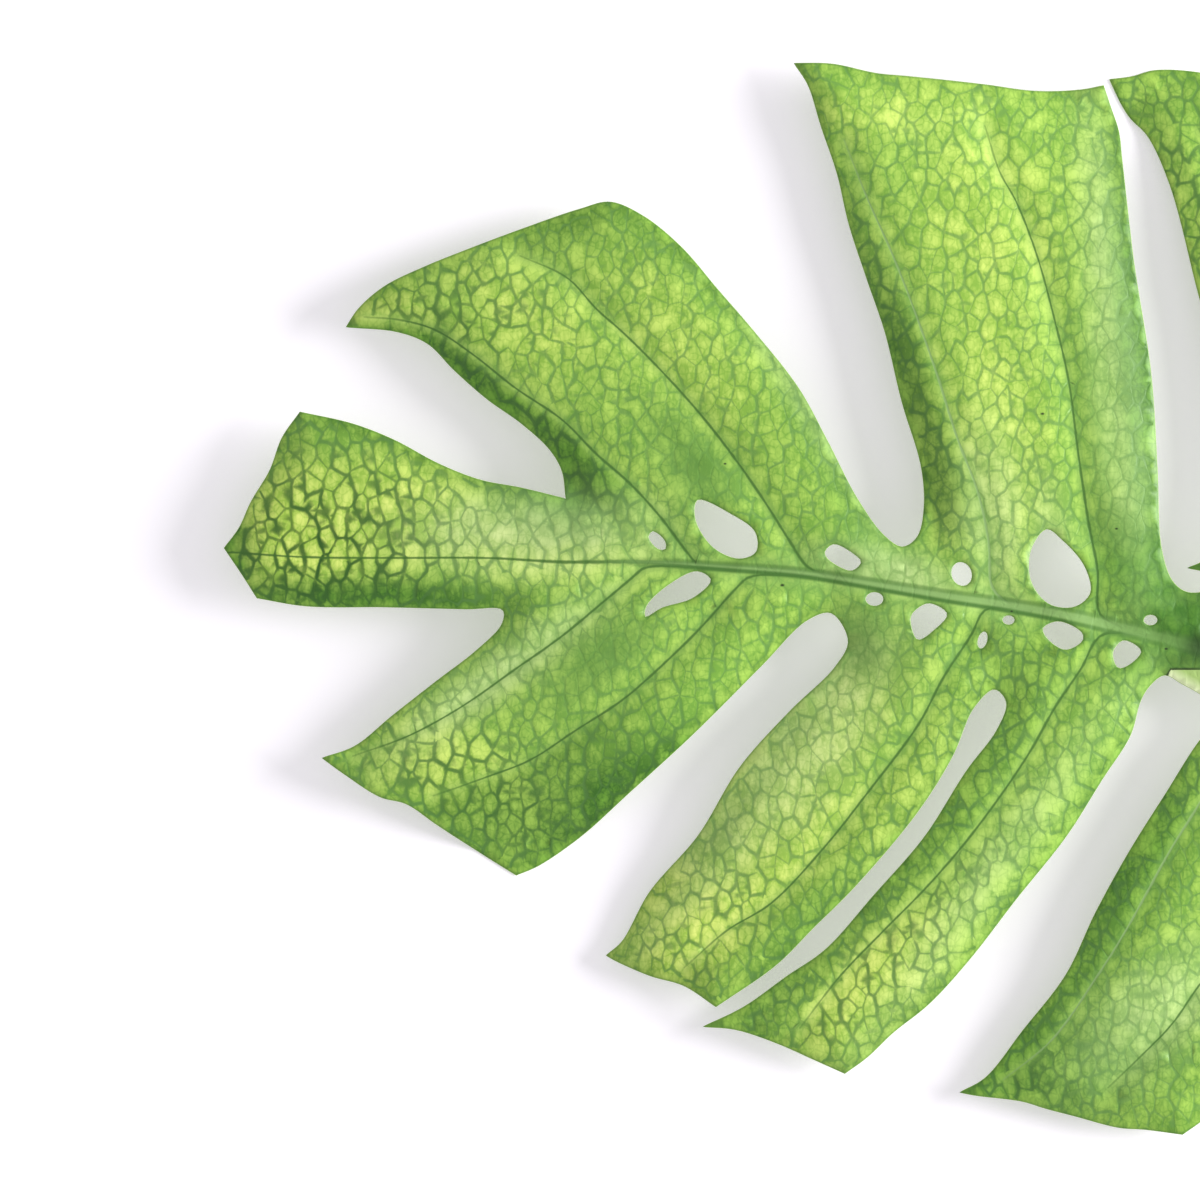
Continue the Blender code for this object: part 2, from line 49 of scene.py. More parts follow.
OUTLINE = {
    "tip, upper edge": [(-94, 13), (-90.25, 18), (-87.25, 24.5), (-82.5, 32.5), (-79.5, 40.5), (-75, 47)],
    "tip lobe, upper side": [(-75, 47), (-61.75, 44), (-51.5, 40), (-40.25, 34), (-30, 30), (-19.75, 28),
                             (-8.5, 25.25)],
    "lobe A, inner side": [(-8.5, 25.25), (-9.5, 32.25), (-12.5, 37.5), (-19.5, 44), (-28.25, 50.25),
                           (-36.5, 57.5), (-43, 64), (-50.5, 67), (-63.5, 68.25)],
    "lobe A, end and sinus": [(-63.5, 68.25), (-60.25, 73), (-53.75, 78.5), (-44, 83.25), (-34.75, 87),
                              (-19.5, 92.75), (-5, 97.75), (2.5, 99.5), (10.75, 96), (20.25, 88.25),
                              (29.25, 77.75), (38.5, 67), (49.5, 53), (56.75, 39.75), (64.25, 25.25),
                              (71, 16), (75.5, 13.25), (79.25, 15.75), (81, 23.25), (80.25, 33.5),
                              (75.5, 49.5), (71.25, 67), (66.75, 80.25), (62.25, 94), (59.25, 106.75),
                              (55.25, 118.5), (52, 128.75), (48.5, 134.25)],
    "lobe B, end": [(48.5, 134.25), (58.25, 134), (69, 131.75), (77.25, 131), (87.5, 130), (96.75, 129),
                    (109.25, 127.5), (121.25, 128), (126.25, 129)],
    "lobe B, base side": [(126.25, 129), (128, 123.75), (130, 117.5), (130.75, 110.25), (133.5, 84.75),
                          (137.75, 56.5), (139.25, 33), (140.25, 13), (143, 4.75), (146.5, 2), (151.5, 2.25),
                          (154.75, 4.5), (152, 6.75), (146.75, 8)],
    "lobe C, inner side": [(146.75, 8), (151, 10), (155, 16.25), (156.5, 30), (155, 50), (152.25, 66.25),
                           (149, 79.25), (142.75, 103.75), (137.25, 116.25), (133, 120.75), (130.75, 124.25),
                           (127.75, 130.5)],
    "lobe C, end and base": [(127.75, 130.5), (133.5, 131.25), (139, 132.75), (150, 132.25), (165.5, 128.5),
                             (182.5, 121), (196.25, 110), (202, 96.25), (202, 75), (196.25, 52.5), (187, 30),
                             (178, 10), (173, -3.75), (171, -16), (174, -26), (184, -32), (192, -44),
                             (194, -60), (190, -76), (182, -92), (173, -106), (161, -120.5),
                             (151.25, -129.75), (145.75, -133.75)],
    "lobe G, end": [(145.75, -133.75), (136.5, -132.5), (129.75, -132), (118.25, -129), (111.5, -127.25),
                    (105.75, -125.5), (94, -124), (90, -123.25)],
    "lobe G, inner side, and sinus": [(90, -123.25), (96.5, -119.5), (105.75, -107.75), (116.5, -93.75),
                                      (124, -78), (132.25, -63), (141.5, -48.25), (150, -35), (154.5, -30.5),
                                      (154.25, -26.5), (150, -23.5), (145.5, -21), (141, -18.75),
                                      (137.25, -21.5), (135, -25.25), (132.5, -33.75), (125.5, -44.75),
                                      (116.5, -59), (104, -74.75), (92.25, -90), (82.25, -101),
                                      (73.25, -108.25), (67, -114.25), (61.25, -118.5)],
    "lobe F, end": [(61.25, -118.5), (53.5, -115), (44.5, -111), (34, -107.5), (25.75, -106.75)],
    "slit between lobes F and E": [(25.75, -106.75), (36, -101.75), (46.5, -94.25), (56.5, -87.25),
                                   (68.25, -74), (81, -59.25), (91.5, -42.75), (99.25, -32.25),
                                   (101.5, -25.5), (98.5, -22.25), (93.25, -27), (88, -39), (79.25, -53),
                                   (63.75, -71.5), (53.25, -82), (44, -91.25), (29, -101.75)],
    "lobe E, end": [(29, -101.75), (21, -96.5), (12.5, -94), (4.25, -90.5), (1.5, -89)],
    "lobe E, inner side, and sinus": [(1.5, -89), (5.5, -85.5), (12.5, -73), (24.5, -59), (35, -41.75),
                                      (47.5, -27.75), (58.75, -16.75), (62, -10.25), (57.75, -3.25),
                                      (51.75, -5), (40, -16.75), (23, -33.75), (7, -48.5), (-4.5, -59),
                                      (-15.25, -66.5), (-21, -69)],
    "lobe D, end": [(-21, -69), (-29, -64), (-40.5, -56.5), (-48.5, -51), (-55, -49.25), (-64, -43.5),
                    (-69.5, -39.5)],
    "lobe D, inner side": [(-69.5, -39.5), (-61.25, -36.5), (-52, -29), (-40.5, -20), (-30.75, -12.5),
                           (-24.5, -6), (-24.25, -2.5), (-33.75, -2.25), (-54, -1.75), (-73.5, -1.5),
                           (-85.75, 0.5)],
    "tip, lower edge": [(-85.75, 0.5), (-89.25, 6), (-94, 13)],
}
CUT_HOLES = [
    [(12, 15.75), (13, 17.25), (15, 16.25), (16.5, 14.25), (16.25, 12.5), (14.25, 12.75)],
    [(24.25, 25), (32.75, 21.5), (38.75, 17), (39, 12), (34.75, 10.25), (28.25, 13), (23.75, 20)],
    [(11.25, -4.25), (11.5, -1.5), (17.25, 4), (24.25, 7.25), (27.75, 5), (23.25, 0.5), (15.5, -2)],
    [(56, 12), (58.25, 14), (63.75, 11.25), (65.25, 9.5), (62.75, 7.25), (56.75, 10.25)],
    [(77.5, -6), (77.75, -3.5), (82, -0.75), (86.75, -3.5), (83.75, -7.25), (79.25, -10)],
    [(111.5, 17.75), (107.5, 12.5), (107.5, 4.75), (112, -1), (118.5, -1.75), (122.5, 1.75), (121, 8.5),
     (115.5, 15)],
    [(110.5, -7), (114.5, -5.25), (120.5, -8.25), (120.5, -10.25), (116, -12.5), (111.25, -9.25)],
    [(128, -13), (130.75, -10), (135.25, -12.75), (131.75, -16.5), (129.25, -17)],
]
# Small oval holes: centre X and Y, half-length along X, half-length along Y, turn in degrees
OVAL_HOLES = [
    (68.5, 0.25, 2.3, 1.8, 0),
    (90.25, 6.5, 2.6, 3.1, 20),
    (95.5, -10, 1.25, 2.25, -15),
    (102, -5, 1.6, 1.25, 0),
    (137.5, -5, 1.8, 1.4, 0),
    (152.5, -6.5, 2.4, 1.5, 10),
]
RIM_STEP = 1.0


def smooth_curve(points, step):
    """Smooth curve through the points: its slope at each comes from the points beside it, and its
    knots are set by the square root of the chords."""
    points = np.array(points, float)
    ends = np.vstack([2 * points[0] - points[1], points, 2 * points[-1] - points[-2]])
    runs = []
    for before, start, end, after in zip(ends, ends[1:], ends[2:], ends[3:]):
        knots = [np.sqrt(np.linalg.norm(b - a)) for a, b in ((before, start), (start, end), (end, after))]
        speed = (end - start) / knots[1]
        leave = (start - before) / knots[0] - (end - before) / (knots[0] + knots[1]) + speed
        reach = speed - (after - start) / (knots[1] + knots[2]) + (after - end) / knots[2]
        count = max(1, round(np.linalg.norm(end - start) / step))
        t = (np.arange(count) / count)[:, None]
        runs.append((2 * t**3 - 3 * t**2 + 1) * start + (t**3 - 2 * t**2 + t) * leave * knots[1]
                    + (3 * t**2 - 2 * t**3) * end + (t**3 - t**2) * reach * knots[1])
    return np.vstack(runs + [points[-1:]])


def even_steps(fine, step, closed=False):
    """The same line cut into equal lengths near the step, by its length from the start."""
    if closed:
        fine = np.vstack([fine, fine[:1]])
    length = np.concatenate([[0], np.cumsum(np.linalg.norm(np.diff(fine, axis=0), axis=1))])
    stations = np.linspace(0, length[-1], max(8 if closed else 2, round(length[-1] / step) + 1))
    if closed:
        stations = stations[:-1]
    return np.column_stack([np.interp(stations, length, fine[:, axis]) for axis in range(fine.shape[1])])


def closed_curve(points, step):
    """A smooth ring: each piece between two points is the middle of a curve through four."""
    ring = points[-1:] + points + points[:2]
    pieces = []
    for quad in zip(ring, ring[1:], ring[2:], ring[3:]):
        fine = smooth_curve(quad, step / 4)
        first = np.argmin(np.linalg.norm(fine - quad[1], axis=1))
        last = np.argmin(np.linalg.norm(fine - quad[2], axis=1))
        pieces.append(fine[first:last])
    return even_steps(np.vstack(pieces), step, closed=True)


def oval(x, y, half_x, half_y, turn):
    """Points of an ellipse about one step apart, turned about its centre."""
    angle = np.linspace(0, 2 * np.pi, round(2 * np.pi * max(half_x, half_y) / RIM_STEP * 1.3) + 1)[:-1]
    local = np.column_stack([half_x * np.cos(angle), half_y * np.sin(angle)])
    cosine, sine = np.cos(np.radians(turn)), np.sin(np.radians(turn))
    return local @ np.array([[cosine, sine], [-sine, cosine]]) + (x, y)


outline = np.vstack([even_steps(smooth_curve(points, RIM_STEP / 4), RIM_STEP)[:-1]
                     for points in OUTLINE.values()])
loops = [outline] + [closed_curve(points, RIM_STEP) for points in CUT_HOLES]
loops += [oval(*hole) for hole in OVAL_HOLES]


def in_blade(places, chunk=4000):
    """Even-odd rule: True where a ray to +X crosses the outline and the holes an odd number of times."""
    low = np.vstack(loops)
    high = np.vstack([np.roll(loop, -1, axis=0) for loop in loops])
    slant = (high[:, 0] - low[:, 0]) / np.where(high[:, 1] == low[:, 1], 1.0, high[:, 1] - low[:, 1])
    found = []
    for part in np.array_split(places, max(1, len(places) // chunk)):
        y = part[:, 1, None]
        spans = (low[:, 1] > y) != (high[:, 1] > y)
        found.append((spans & (low[:, 0] + (y - low[:, 1]) * slant > part[:, 0, None])).sum(1) % 2 == 1)
    return np.concatenate(found)


# The main veins.  A pale midrib runs from the stalk to the tip and gives off side veins that curve
# out along each lobe.  All stand out as ribs below and lie in a narrow groove above.
MIDRIB = [(-93, 12), (-74.25, 10.75), (-49, 10.5), (-28.5, 10.5), (-9.5, 9.5), (11, 9.5), (31.5, 8.25),
          (50.5, 6.75), (71, 3.5), (86.25, 1), (100, -1), (114.5, -3.5), (133.75, -7.75), (150, -12),
          (171, -16)]
SIDE_VEINS = {
    "A front": [(24, 9), (20.25, 13.75), (15, 20.75), (7.5, 29), (-0.75, 36.25), (-9.5, 45), (-21.25, 53),
                (-32, 61.5), (-41.25, 67.5), (-50, 70), (-59, 70.75)],
    "A back": [(56, 6), (51.5, 8.5), (47.25, 14.75), (41.25, 24.25), (34.75, 33.75), (25.75, 45.5),
               (15.25, 57.25), (5.5, 67), (-0.75, 72.5), (-8.25, 80.5), (-20, 86)],
    "B front": [(102.5, -1.5), (98, 3), (97, 14.5), (94.5, 26.5), (89, 41), (84, 56.75), (78, 73.75),
                (73, 86.5), (66.75, 100.5), (61, 115)],
    "B back": [(130, -7), (124.75, -3.5), (124.25, 7.5), (122.25, 18), (119.5, 36), (117, 55),
               (113.75, 69.25), (109.25, 86), (104, 99.75), (100, 107), (96.25, 118.75)],
    "C front": [(158, -13.5), (164, 10), (167, 40), (165, 70), (158, 98), (150, 118)],
    "C back": [(169, -15.5), (178, 15), (186, 42), (187, 70), (182, 92), (173, 110)],
    "D front": [(32, 8), (11, 8), (8.5, 6), (0.75, -0.5), (-9.5, -9), (-21.5, -17.5), (-34.75, -26.75),
                (-48, -34), (-61.75, -39)],
    "D back": [(54.75, 6), (37.25, 5.75), (34.25, 3.25), (25, -7), (15, -16.75), (5.5, -25), (-6, -32.5),
               (-17.5, -40), (-29, -44.5), (-41.75, -49)],
    "E": [(108.75, -3), (96.5, -2.25), (92.5, -9), (85.75, -19.25), (79.5, -31), (66.5, -48.5), (56, -61.75),
          (42.75, -75.75), (31.5, -82.75), (21, -92)],
    "F": [(137.5, -9), (125.25, -8.75), (120, -17.25), (113.75, -26.5), (106.5, -39.25), (93.25, -58),
          (82.25, -71), (70.5, -83), (60, -94), (50, -107)],
    "G front": [(164, -15), (160, -30), (152, -47), (142.25, -63), (131.5, -82.5), (124, -94.5),
                (113, -110), (101, -120)],
    "G back": [(169, -16), (177, -40), (173, -62), (163, -80), (150, -96), (143, -106), (134.75, -114.5),
               (127, -122)],
}
VEIN_STEP = 1.2
MIDRIB_HALF_WIDTH = (0.7, 2.6)          # at the tip and where the stalk joins
SIDE_VEIN_HALF_WIDTH = (1.0, 0.55)      # at the midrib and at the end

midrib = even_steps(smooth_curve(MIDRIB, VEIN_STEP / 4), VEIN_STEP)
side_veins = {name: even_steps(smooth_curve(points, VEIN_STEP / 4), VEIN_STEP)
              for name, points in SIDE_VEINS.items()}


def nearest_on(line, places, chunk=4000):
    """Distance from each place to the line, the side it lies on (1 is left of the line's way) and
    how far along the line it is, from 0 to 1: the nearest point of the line, then the better of
    the two runs that meet there."""
    found = []
    for part in np.array_split(places, max(1, len(places) // chunk)):
        found.append((np.sum(line**2, axis=1) - 2 * part @ line.T).argmin(1))
    nearest = np.concatenate(found)
    best = np.full(len(places), np.inf)
    side = np.zeros(len(places))
    along = np.zeros(len(places))
    for first in (np.clip(nearest - 1, 0, len(line) - 2), np.clip(nearest, 0, len(line) - 2)):
        run = line[first + 1] - line[first]
        offset = places - line[first]
        share = np.clip((offset * run).sum(1) / (run**2).sum(1), 0, 1)
        distance = np.linalg.norm(offset - share[:, None] * run, axis=1)
        better = distance < best
        best = np.where(better, distance, best)
        side = np.where(better, np.sign(run[:, 0] * offset[:, 1] - run[:, 1] * offset[:, 0]), side)
        along = np.where(better, (first + share) / (len(line) - 1), along)
    return best, side, along


def to_left(way):
    """Unit vectors turned a quarter to the left of the given ways."""
    return np.column_stack([-way[:, 1], way[:, 0]]) / np.linalg.norm(way, axis=1)[:, None]


def beside(line, widths):
    """The lines that run beside a vein on both sides, as far out as the widths say, point by point."""
    off = to_left(np.gradient(line, axis=0)) * widths[:, None]
    return np.vstack([line + off, line - off])


def between(ends, share):
    """From the first value to the second as the share goes from 0 to 1."""
    return ends[0] + (ends[1] - ends[0]) * share


# The net.  Between the side veins, strong finer veins arch across like the rungs of a ladder, 8 to 9 mm
# apart, and a weaker net of meshes 3 to 5 mm long fills the rows between them.
RUNG_PITCH = 8.6
RUNG_LEAN = 0.85                        # a rung gains this much towards the vein's end per mm out
RUNG_STRAIGHTENS = 0.006                # and this share less with each mm, so it arches
ROW_UNEVEN, ROW_BEAT = 0.22, 1.9        # rows are wider and narrower by this, and how often
MESH_WIDTH = 2.45                       # meshes are this wide and half as long again
NET_STRETCH = np.array([1.0, 0.62])     # the net is drawn with Y squeezed, so meshes lie along Y
VEIN_SEED_OFFSET = 1.8                  # meshes lie in pairs on both sides of a main vein
PAIR_SPACING = 2.3                      # at least, between the pairs
SEED_TRIALS = 26000
RUNG_STRENGTH = (0.8, 1.0)
WEAK_STRENGTH = (0.3, 0.7)
LEFT_OUT = (0.02, 0.12)                 # shares of the rungs and of the weak veins that are missing
SHORTEST_VEIN, LONGEST_VEIN = 0.6, 20
WAVER = 0.4                             # net veins waver by about this much
NET_FLANK = 0.45                        # how far beside a net vein the triangles' corners lie
rng = np.random.default_rng(7)
WAVER_WAYS = rng.uniform(-1, 1, (10, 2))
WAVER_PHASES = rng.uniform(0, 2 * np.pi, (10, 2))
WAVER_PITCHES = 4.0 + 1.3 * np.arange(10)
WAVER_SIZES = 0.6 + 0.1 * np.arange(10)


def waver(places):
    """Smooth small shifts: sines of several directions, 4 to 16 mm long, added up."""
    shift = np.zeros_like(places)
    for way, phase, pitch, size in zip(WAVER_WAYS, WAVER_PHASES, WAVER_PITCHES, WAVER_SIZES):
        turns = 2 * np.pi / pitch
        wave = places @ (way / np.linalg.norm(way)) * turns
        shift += np.column_stack([np.sin(wave + phase[0]), np.sin(wave + phase[1])]) * size
    return shift * WAVER / 3


def to_net(places):
    """Where places of the plan lie in the net's own plane: wavered, then squeezed."""
    return (places + waver(places)) * NET_STRETCH


def from_net(points):
    """The places of the plan for points of the net's plane, found by four rounds of correction."""
    found = points / NET_STRETCH
    for _ in range(4):
        found = points / NET_STRETCH - waver(found)
    return found


main_veins = [midrib] + list(side_veins.values())
main_lengths = np.array([np.linalg.norm(np.diff(line, axis=0), axis=1).sum() for line in main_veins])


def nearest_main_vein(places):
    """The number of the nearest main vein, the distance to it, the side and the length along it."""
    found = np.array([nearest_on(line, places) for line in main_veins])
    vein = found[:, 0].argmin(0)
    distance, side, along = np.take_along_axis(found, vein[None, None], 0)[0]
    return vein, distance, side, along * main_lengths[vein]


def row_at(places):
    """Which row between two rungs a place is in: rows are counted along the nearest main vein, by
    the point where the rung through the place would leave it.  Returns the row's own number, and
    where the place is across the row, from 0 to 1."""
    vein, distance, side, along = nearest_main_vein(places)
    lean = np.where(vein == 0, -RUNG_LEAN, RUNG_LEAN) * (1 - RUNG_STRAIGHTENS * distance)
    start = (along - lean * distance) / RUNG_PITCH
    start = start + ROW_UNEVEN * np.sin(start * ROW_BEAT + vein)
    row = np.floor(start)
    return vein * 1000 + (side > 0) * 500 + row + 100, start - row


def spread_seeds(candidates, kept, spacing):
    """Takes each candidate that keeps the spacing from all the kept ones."""
    found = np.full((len(kept) + len(candidates), 2), np.inf)
    found[:len(kept)] = kept
    count = len(kept)
    for seed in candidates:
        gap = found[:count] - seed
        if np.min(gap[:, 0] ** 2 + gap[:, 1] ** 2) >= spacing**2:
            found[count] = seed
            count += 1
    return found[:count]


def vein_seeds():
    """Pairs of seeds that mirror each other across the main veins, one pair in each row."""
    pairs = []
    for line in main_veins:
        stations = even_steps(line, 0.5)
        off = to_left(np.gradient(stations, axis=0)) * VEIN_SEED_OFFSET
        row, across = row_at(stations + off)
        order = np.argsort(np.abs(across - 0.5), kind="stable")
        best = order[np.unique(row[order], return_index=True)[1]]
        pairs.append(np.stack([stations + off, stations - off], axis=1)[best])
    return np.vstack(pairs)


def net_seeds():
    """One seed in each mesh, in the net's plane: mirrored pairs along the veins first, then the rest.
    Returns the seeds and the number of paired ones."""
    kept = np.zeros((0, 2))
    for pair in vein_seeds():
        if len(kept) == 0 or np.linalg.norm(kept[:, None] - pair, axis=2).min() >= PAIR_SPACING:
            kept = np.vstack([kept, pair])
    trials = rng.uniform(outline.min(0) - 6, outline.max(0) + 6, (SEED_TRIALS, 2))
    return spread_seeds(to_net(trials), to_net(kept), MESH_WIDTH), len(kept)


seeds_netted, paired_count = net_seeds()
seeds = from_net(seeds_netted)
seed_tone = rng.uniform(0, 1, len(seeds))
seed_row = row_at(seeds)[0]


def net_edges():
    """The edges between neighbouring meshes: the two seeds of each, how strong a vein it is, and its
    two ends, which are the centres of the two circles through neighbouring seeds.  A rung is strong
    and the rest are weak.  A few are left out, and so are very short ones and all edges along a main
    vein or across a gap between lobes."""
    found = delaunay_2d_cdt([Vector(seed) for seed in seeds_netted], [], [], 0, 1e-6)
    order = np.array([ids[0] for ids in found[3]])
    triangles = order[np.array([tuple(face) for face in found[2]])]
    a, b, c = (seeds_netted[triangles[:, k]] for k in range(3))
    ab, ac = b - a, c - a
    cross = 2 * (ab[:, 0] * ac[:, 1] - ab[:, 1] * ac[:, 0])
    ab2, ac2 = (ab**2).sum(1), (ac**2).sum(1)
    centre = a + np.column_stack([ac[:, 1] * ab2 - ab[:, 1] * ac2,
                                  ab[:, 0] * ac2 - ac[:, 0] * ab2]) / cross[:, None]
    sides = np.sort(np.vstack([triangles[:, [0, 1]], triangles[:, [1, 2]], triangles[:, [2, 0]]]), axis=1)
    owner = np.tile(np.arange(len(triangles)), 3)
    key = sides @ (len(seeds), 1)
    rank = np.argsort(key, kind="stable")
    twin = key[rank][1:] == key[rank][:-1]
    left, right = rank[:-1][twin], rank[1:][twin]
    pair = sides[left]
    chance = rng.uniform(0, 1, len(pair))
    is_rung = seed_row[pair[:, 0]] != seed_row[pair[:, 1]]
    force = np.where(is_rung, between(RUNG_STRENGTH, chance), between(WEAK_STRENGTH, chance))
    force[rng.uniform(0, 1, len(pair)) < np.where(is_rung, *LEFT_OUT)] = 0
    first, second = seeds[pair[:, :1]], seeds[pair[:, 1:]]
    between_seeds = first + (second - first) * np.linspace(0, 1, 9)[:, None]
    across_gap = in_blade(between_seeds.reshape(-1, 2)).reshape(-1, 9).sum(1) < 6
    across_vein = (pair < paired_count).all(1) & (pair.sum(1) % 2 == 1)
    starts, ends = centre[owner[left]], centre[owner[right]]
    too_short = np.linalg.norm(starts - ends, axis=1) < SHORTEST_VEIN
    force[across_gap | across_vein | too_short] = 0
    return key[rank][:-1][twin], force, starts, ends


edge_keys, edge_forces, edge_starts, edge_ends = net_edges()


def pair_strength(first, second):
    """How strong the vein between two meshes is, or 0 where they aren't neighbours."""
    key = np.minimum(first, second) * len(seeds) + np.maximum(first, second)
    place = np.clip(np.searchsorted(edge_keys, key), 0, len(edge_keys) - 1)
    return np.where(edge_keys[place] == key, edge_forces[place], 0.0)


def net_lines(step):
    """The net's veins, in the net's plane, as rows of points about a step apart.  Returns the points,
    which follow one another within a vein, whether each is followed by the next, and points on both
    sides of the middle of each run, which keep the triangles beside the vein narrow."""
    length = np.linalg.norm(edge_ends - edge_starts, axis=1)
    wanted = (edge_forces > 0) & (length < LONGEST_VEIN)
    start, run, length = edge_starts[wanted], (edge_ends - edge_starts)[wanted], length[wanted]
    count = np.maximum(2, np.round(length / step).astype(int) + 1)
    vein = np.repeat(np.arange(len(count)), count)
    place = np.arange(count.sum()) - np.repeat(np.cumsum(count) - count, count)
    points = start[vein] + run[vein] * (place / (count[vein] - 1))[:, None]
    followed = place < count[vein] - 1
    middle = points[followed] + run[vein[followed]] * (0.5 / (count[vein[followed]] - 1))[:, None]
    off = to_left(run)[vein[followed]] * NET_FLANK
    return points, followed, np.vstack([middle + off, middle - off])


def net_at(places, chunk=2000):
    """The net at each place: distance to the nearest net vein, that vein's strength, and the mesh it
    lies in.  A vein is where two seeds are equally near, and the distance to it is half the
    difference of the squared distances to its two seeds over the squeezed distance between them."""
    netted = to_net(places)
    distance = np.full(len(places), 9.0)
    strength = np.zeros(len(places))
    mesh = np.zeros(len(places), int)
    for part in np.array_split(np.arange(len(places)), max(1, len(places) // chunk)):
        gap = np.sum(seeds_netted**2, axis=1) - 2 * netted[part] @ seeds_netted.T
        near = np.argpartition(gap, 4, axis=1)[:, :4]
        near = np.take_along_axis(near, np.take_along_axis(gap, near, 1).argsort(1), 1)
        first = mesh[part] = near[:, 0]
        for rank in (1, 2, 3):
            other = near[:, rank]
            difference = np.take_along_axis(gap, near, 1)[:, rank] - gap[np.arange(len(part)), first]
            away = (seeds_netted[other] - seeds_netted[first]) * NET_STRETCH
            off = difference / 2 / np.linalg.norm(away, axis=1)
            force = pair_strength(first, other)
            closer = (force > 0) & (off < distance[part] - 0.02) | (off < 0.05) & (force > strength[part])
            strength[part] = np.where(closer, force, strength[part])
            distance[part] = np.where((force > 0) & (off < distance[part]), off, distance[part])
    return distance, strength, mesh


# The blade's form.  A leathery, slightly quilted blade, arched along the midrib and drooping to the
# lobes' ends, lying on the table at two lobes' corners and at the stalk.  It hangs a little between
# its veins' valleys, and its margins and some outer strips bend down.
BLADE_THICKNESS = 0.45
SOLID_THICKNESS = 0.8                   # of the plain solid, whose underside this blade keeps
CREST_HEIGHT = 17.0
CREST_X = 40.0
CREST_FALL_LENGTH = 60.0
SIDE_DROOP = 9.0
HALF_WIDTH = 130.0
MARGIN_CURL = 1.6
MARGIN_CURL_WIDTH = 5.0
VEIN_VALLEY = 0.9
VEIN_VALLEY_WIDTH = 4.0
MIDRIB_VALLEY = 1.2
MIDRIB_VALLEY_WIDTH = 5.0
MIDRIB_DEPTH = (0.5, 2.4)
SIDE_VEIN_DEPTH = 0.7
SIDE_VEIN_GROOVE = 0.12
TAPER_SHARE, TAPER_TO = 0.12, 0.35      # a side vein's last stretch sinks to this share of its height
QUILT_HEIGHT = 0.10                     # how far a mesh of the net bulges
QUILT_WIDTH = 1.0
QUILT_STARTS = (2.5, 4.0, 3.5)          # how far from a side vein, the midrib and the rim it rises
THIN_RIM = (0.12, 0.5)                  # how much thinner the blade is at its rim, and how far in
PLAN_STEP = 1.7                         # of the triangles' edges along the veins
PLAN_ROWS = (1.0, 1.9)                  # rows of corners beside a vein, in its half-widths
FIELD_STEP = 1.5                        # between the corners everywhere else
RIM_ROUND = 0.10                        # how far the rim's middle stands out
# Strips that bend down along the outer side of a vein: vein, side, depth and width in millimetres
BENT_STRIPS = [
    ("A front", 1, 3.5, 9.0),
    ("B front", 1, 4.5, 12.0),
    ("D back", 1, 3.0, 22.0),
    ("E", -1, 2.5, 22.0),
    ("G front", -1, 1.5, 12.0),
]
PAST_VEIN_END = 40.0                    # how far a bent strip follows its vein past the vein's end
# Where the leaf lies on the table or is held up: X, Y, dip and radius of the dip
SPOTS = [
    (-19, -66, 9.9, 30.0),
    (125, 129, 4.9, 24.0),
    (196, 100, -4.5, 40.0),
    (148, -128, -3.0, 35.0),
    (48, 134, -3.5, 30.0),
]


class Readings:
    """What the form and the colours need at each place: distances to margin and veins, and the net."""

    def __init__(self, places):
        self.places = places
        self.carried_on = {}
        self.margin = nearest_on(np.vstack([outline, outline[:1]]), places)[0]
        self.any_edge = np.min([self.margin] + [nearest_on(np.vstack([loop, loop[:1]]), places)[0]
                                                for loop in loops[1:]], axis=0)
        self.midrib, self.midrib_side, self.midrib_share = nearest_on(midrib, places)
        by_vein = [nearest_on(line, places) for line in side_veins.values()]
        distances = np.array([found[0] for found in by_vein])
        shares = np.array([found[2] for found in by_vein])
        best = self.which_side_vein = distances.argmin(0)
        self.side_vein = distances.min(0)
        self.side_vein_share = np.take_along_axis(shares, best[None], 0)[0]
        self.net_distance, self.net_strength, self.mesh = net_at(places)
        self.midrib_line = np.clip(1 - self.midrib / between(MIDRIB_HALF_WIDTH, self.midrib_share), 0, 1)
        half_width = between(SIDE_VEIN_HALF_WIDTH, self.side_vein_share)
        fade = np.clip((1 - self.side_vein_share) / TAPER_SHARE, 0, 1)
        self.side_line = np.clip(1 - self.side_vein / half_width, 0, 1) * (TAPER_TO + (1 - TAPER_TO) * fade)

    def beside_vein(self, name):
        """Distance, side and share along a vein that is carried straight on up to the margin."""
        if name not in self.carried_on:
            line = side_veins[name]
            way = (line[-1] - line[-2]) / np.linalg.norm(line[-1] - line[-2])
            steps = np.arange(VEIN_STEP, PAST_VEIN_END, VEIN_STEP)[:, None]
            self.carried_on[name] = nearest_on(np.vstack([line, line[-1] + way * steps]), self.places)
        return self.carried_on[name]

    def strip(self, name, strip_side, width):
        """0 at a vein carried straight on past its end, 1 at the width away on its outer side, and 0
        again near the midrib and beyond the strip's reach."""
        distance, side, _ = self.beside_vein(name)
        share = np.where(side == strip_side, np.clip(distance / width, 0, 1), 0)
        far_from_midrib = 1 - np.exp(-(self.midrib / 20) ** 2)
        in_reach = np.exp(-np.clip(distance / width - 1, 0, None) ** 2 * 4)
        return share**1.5 * far_from_midrib * in_reach


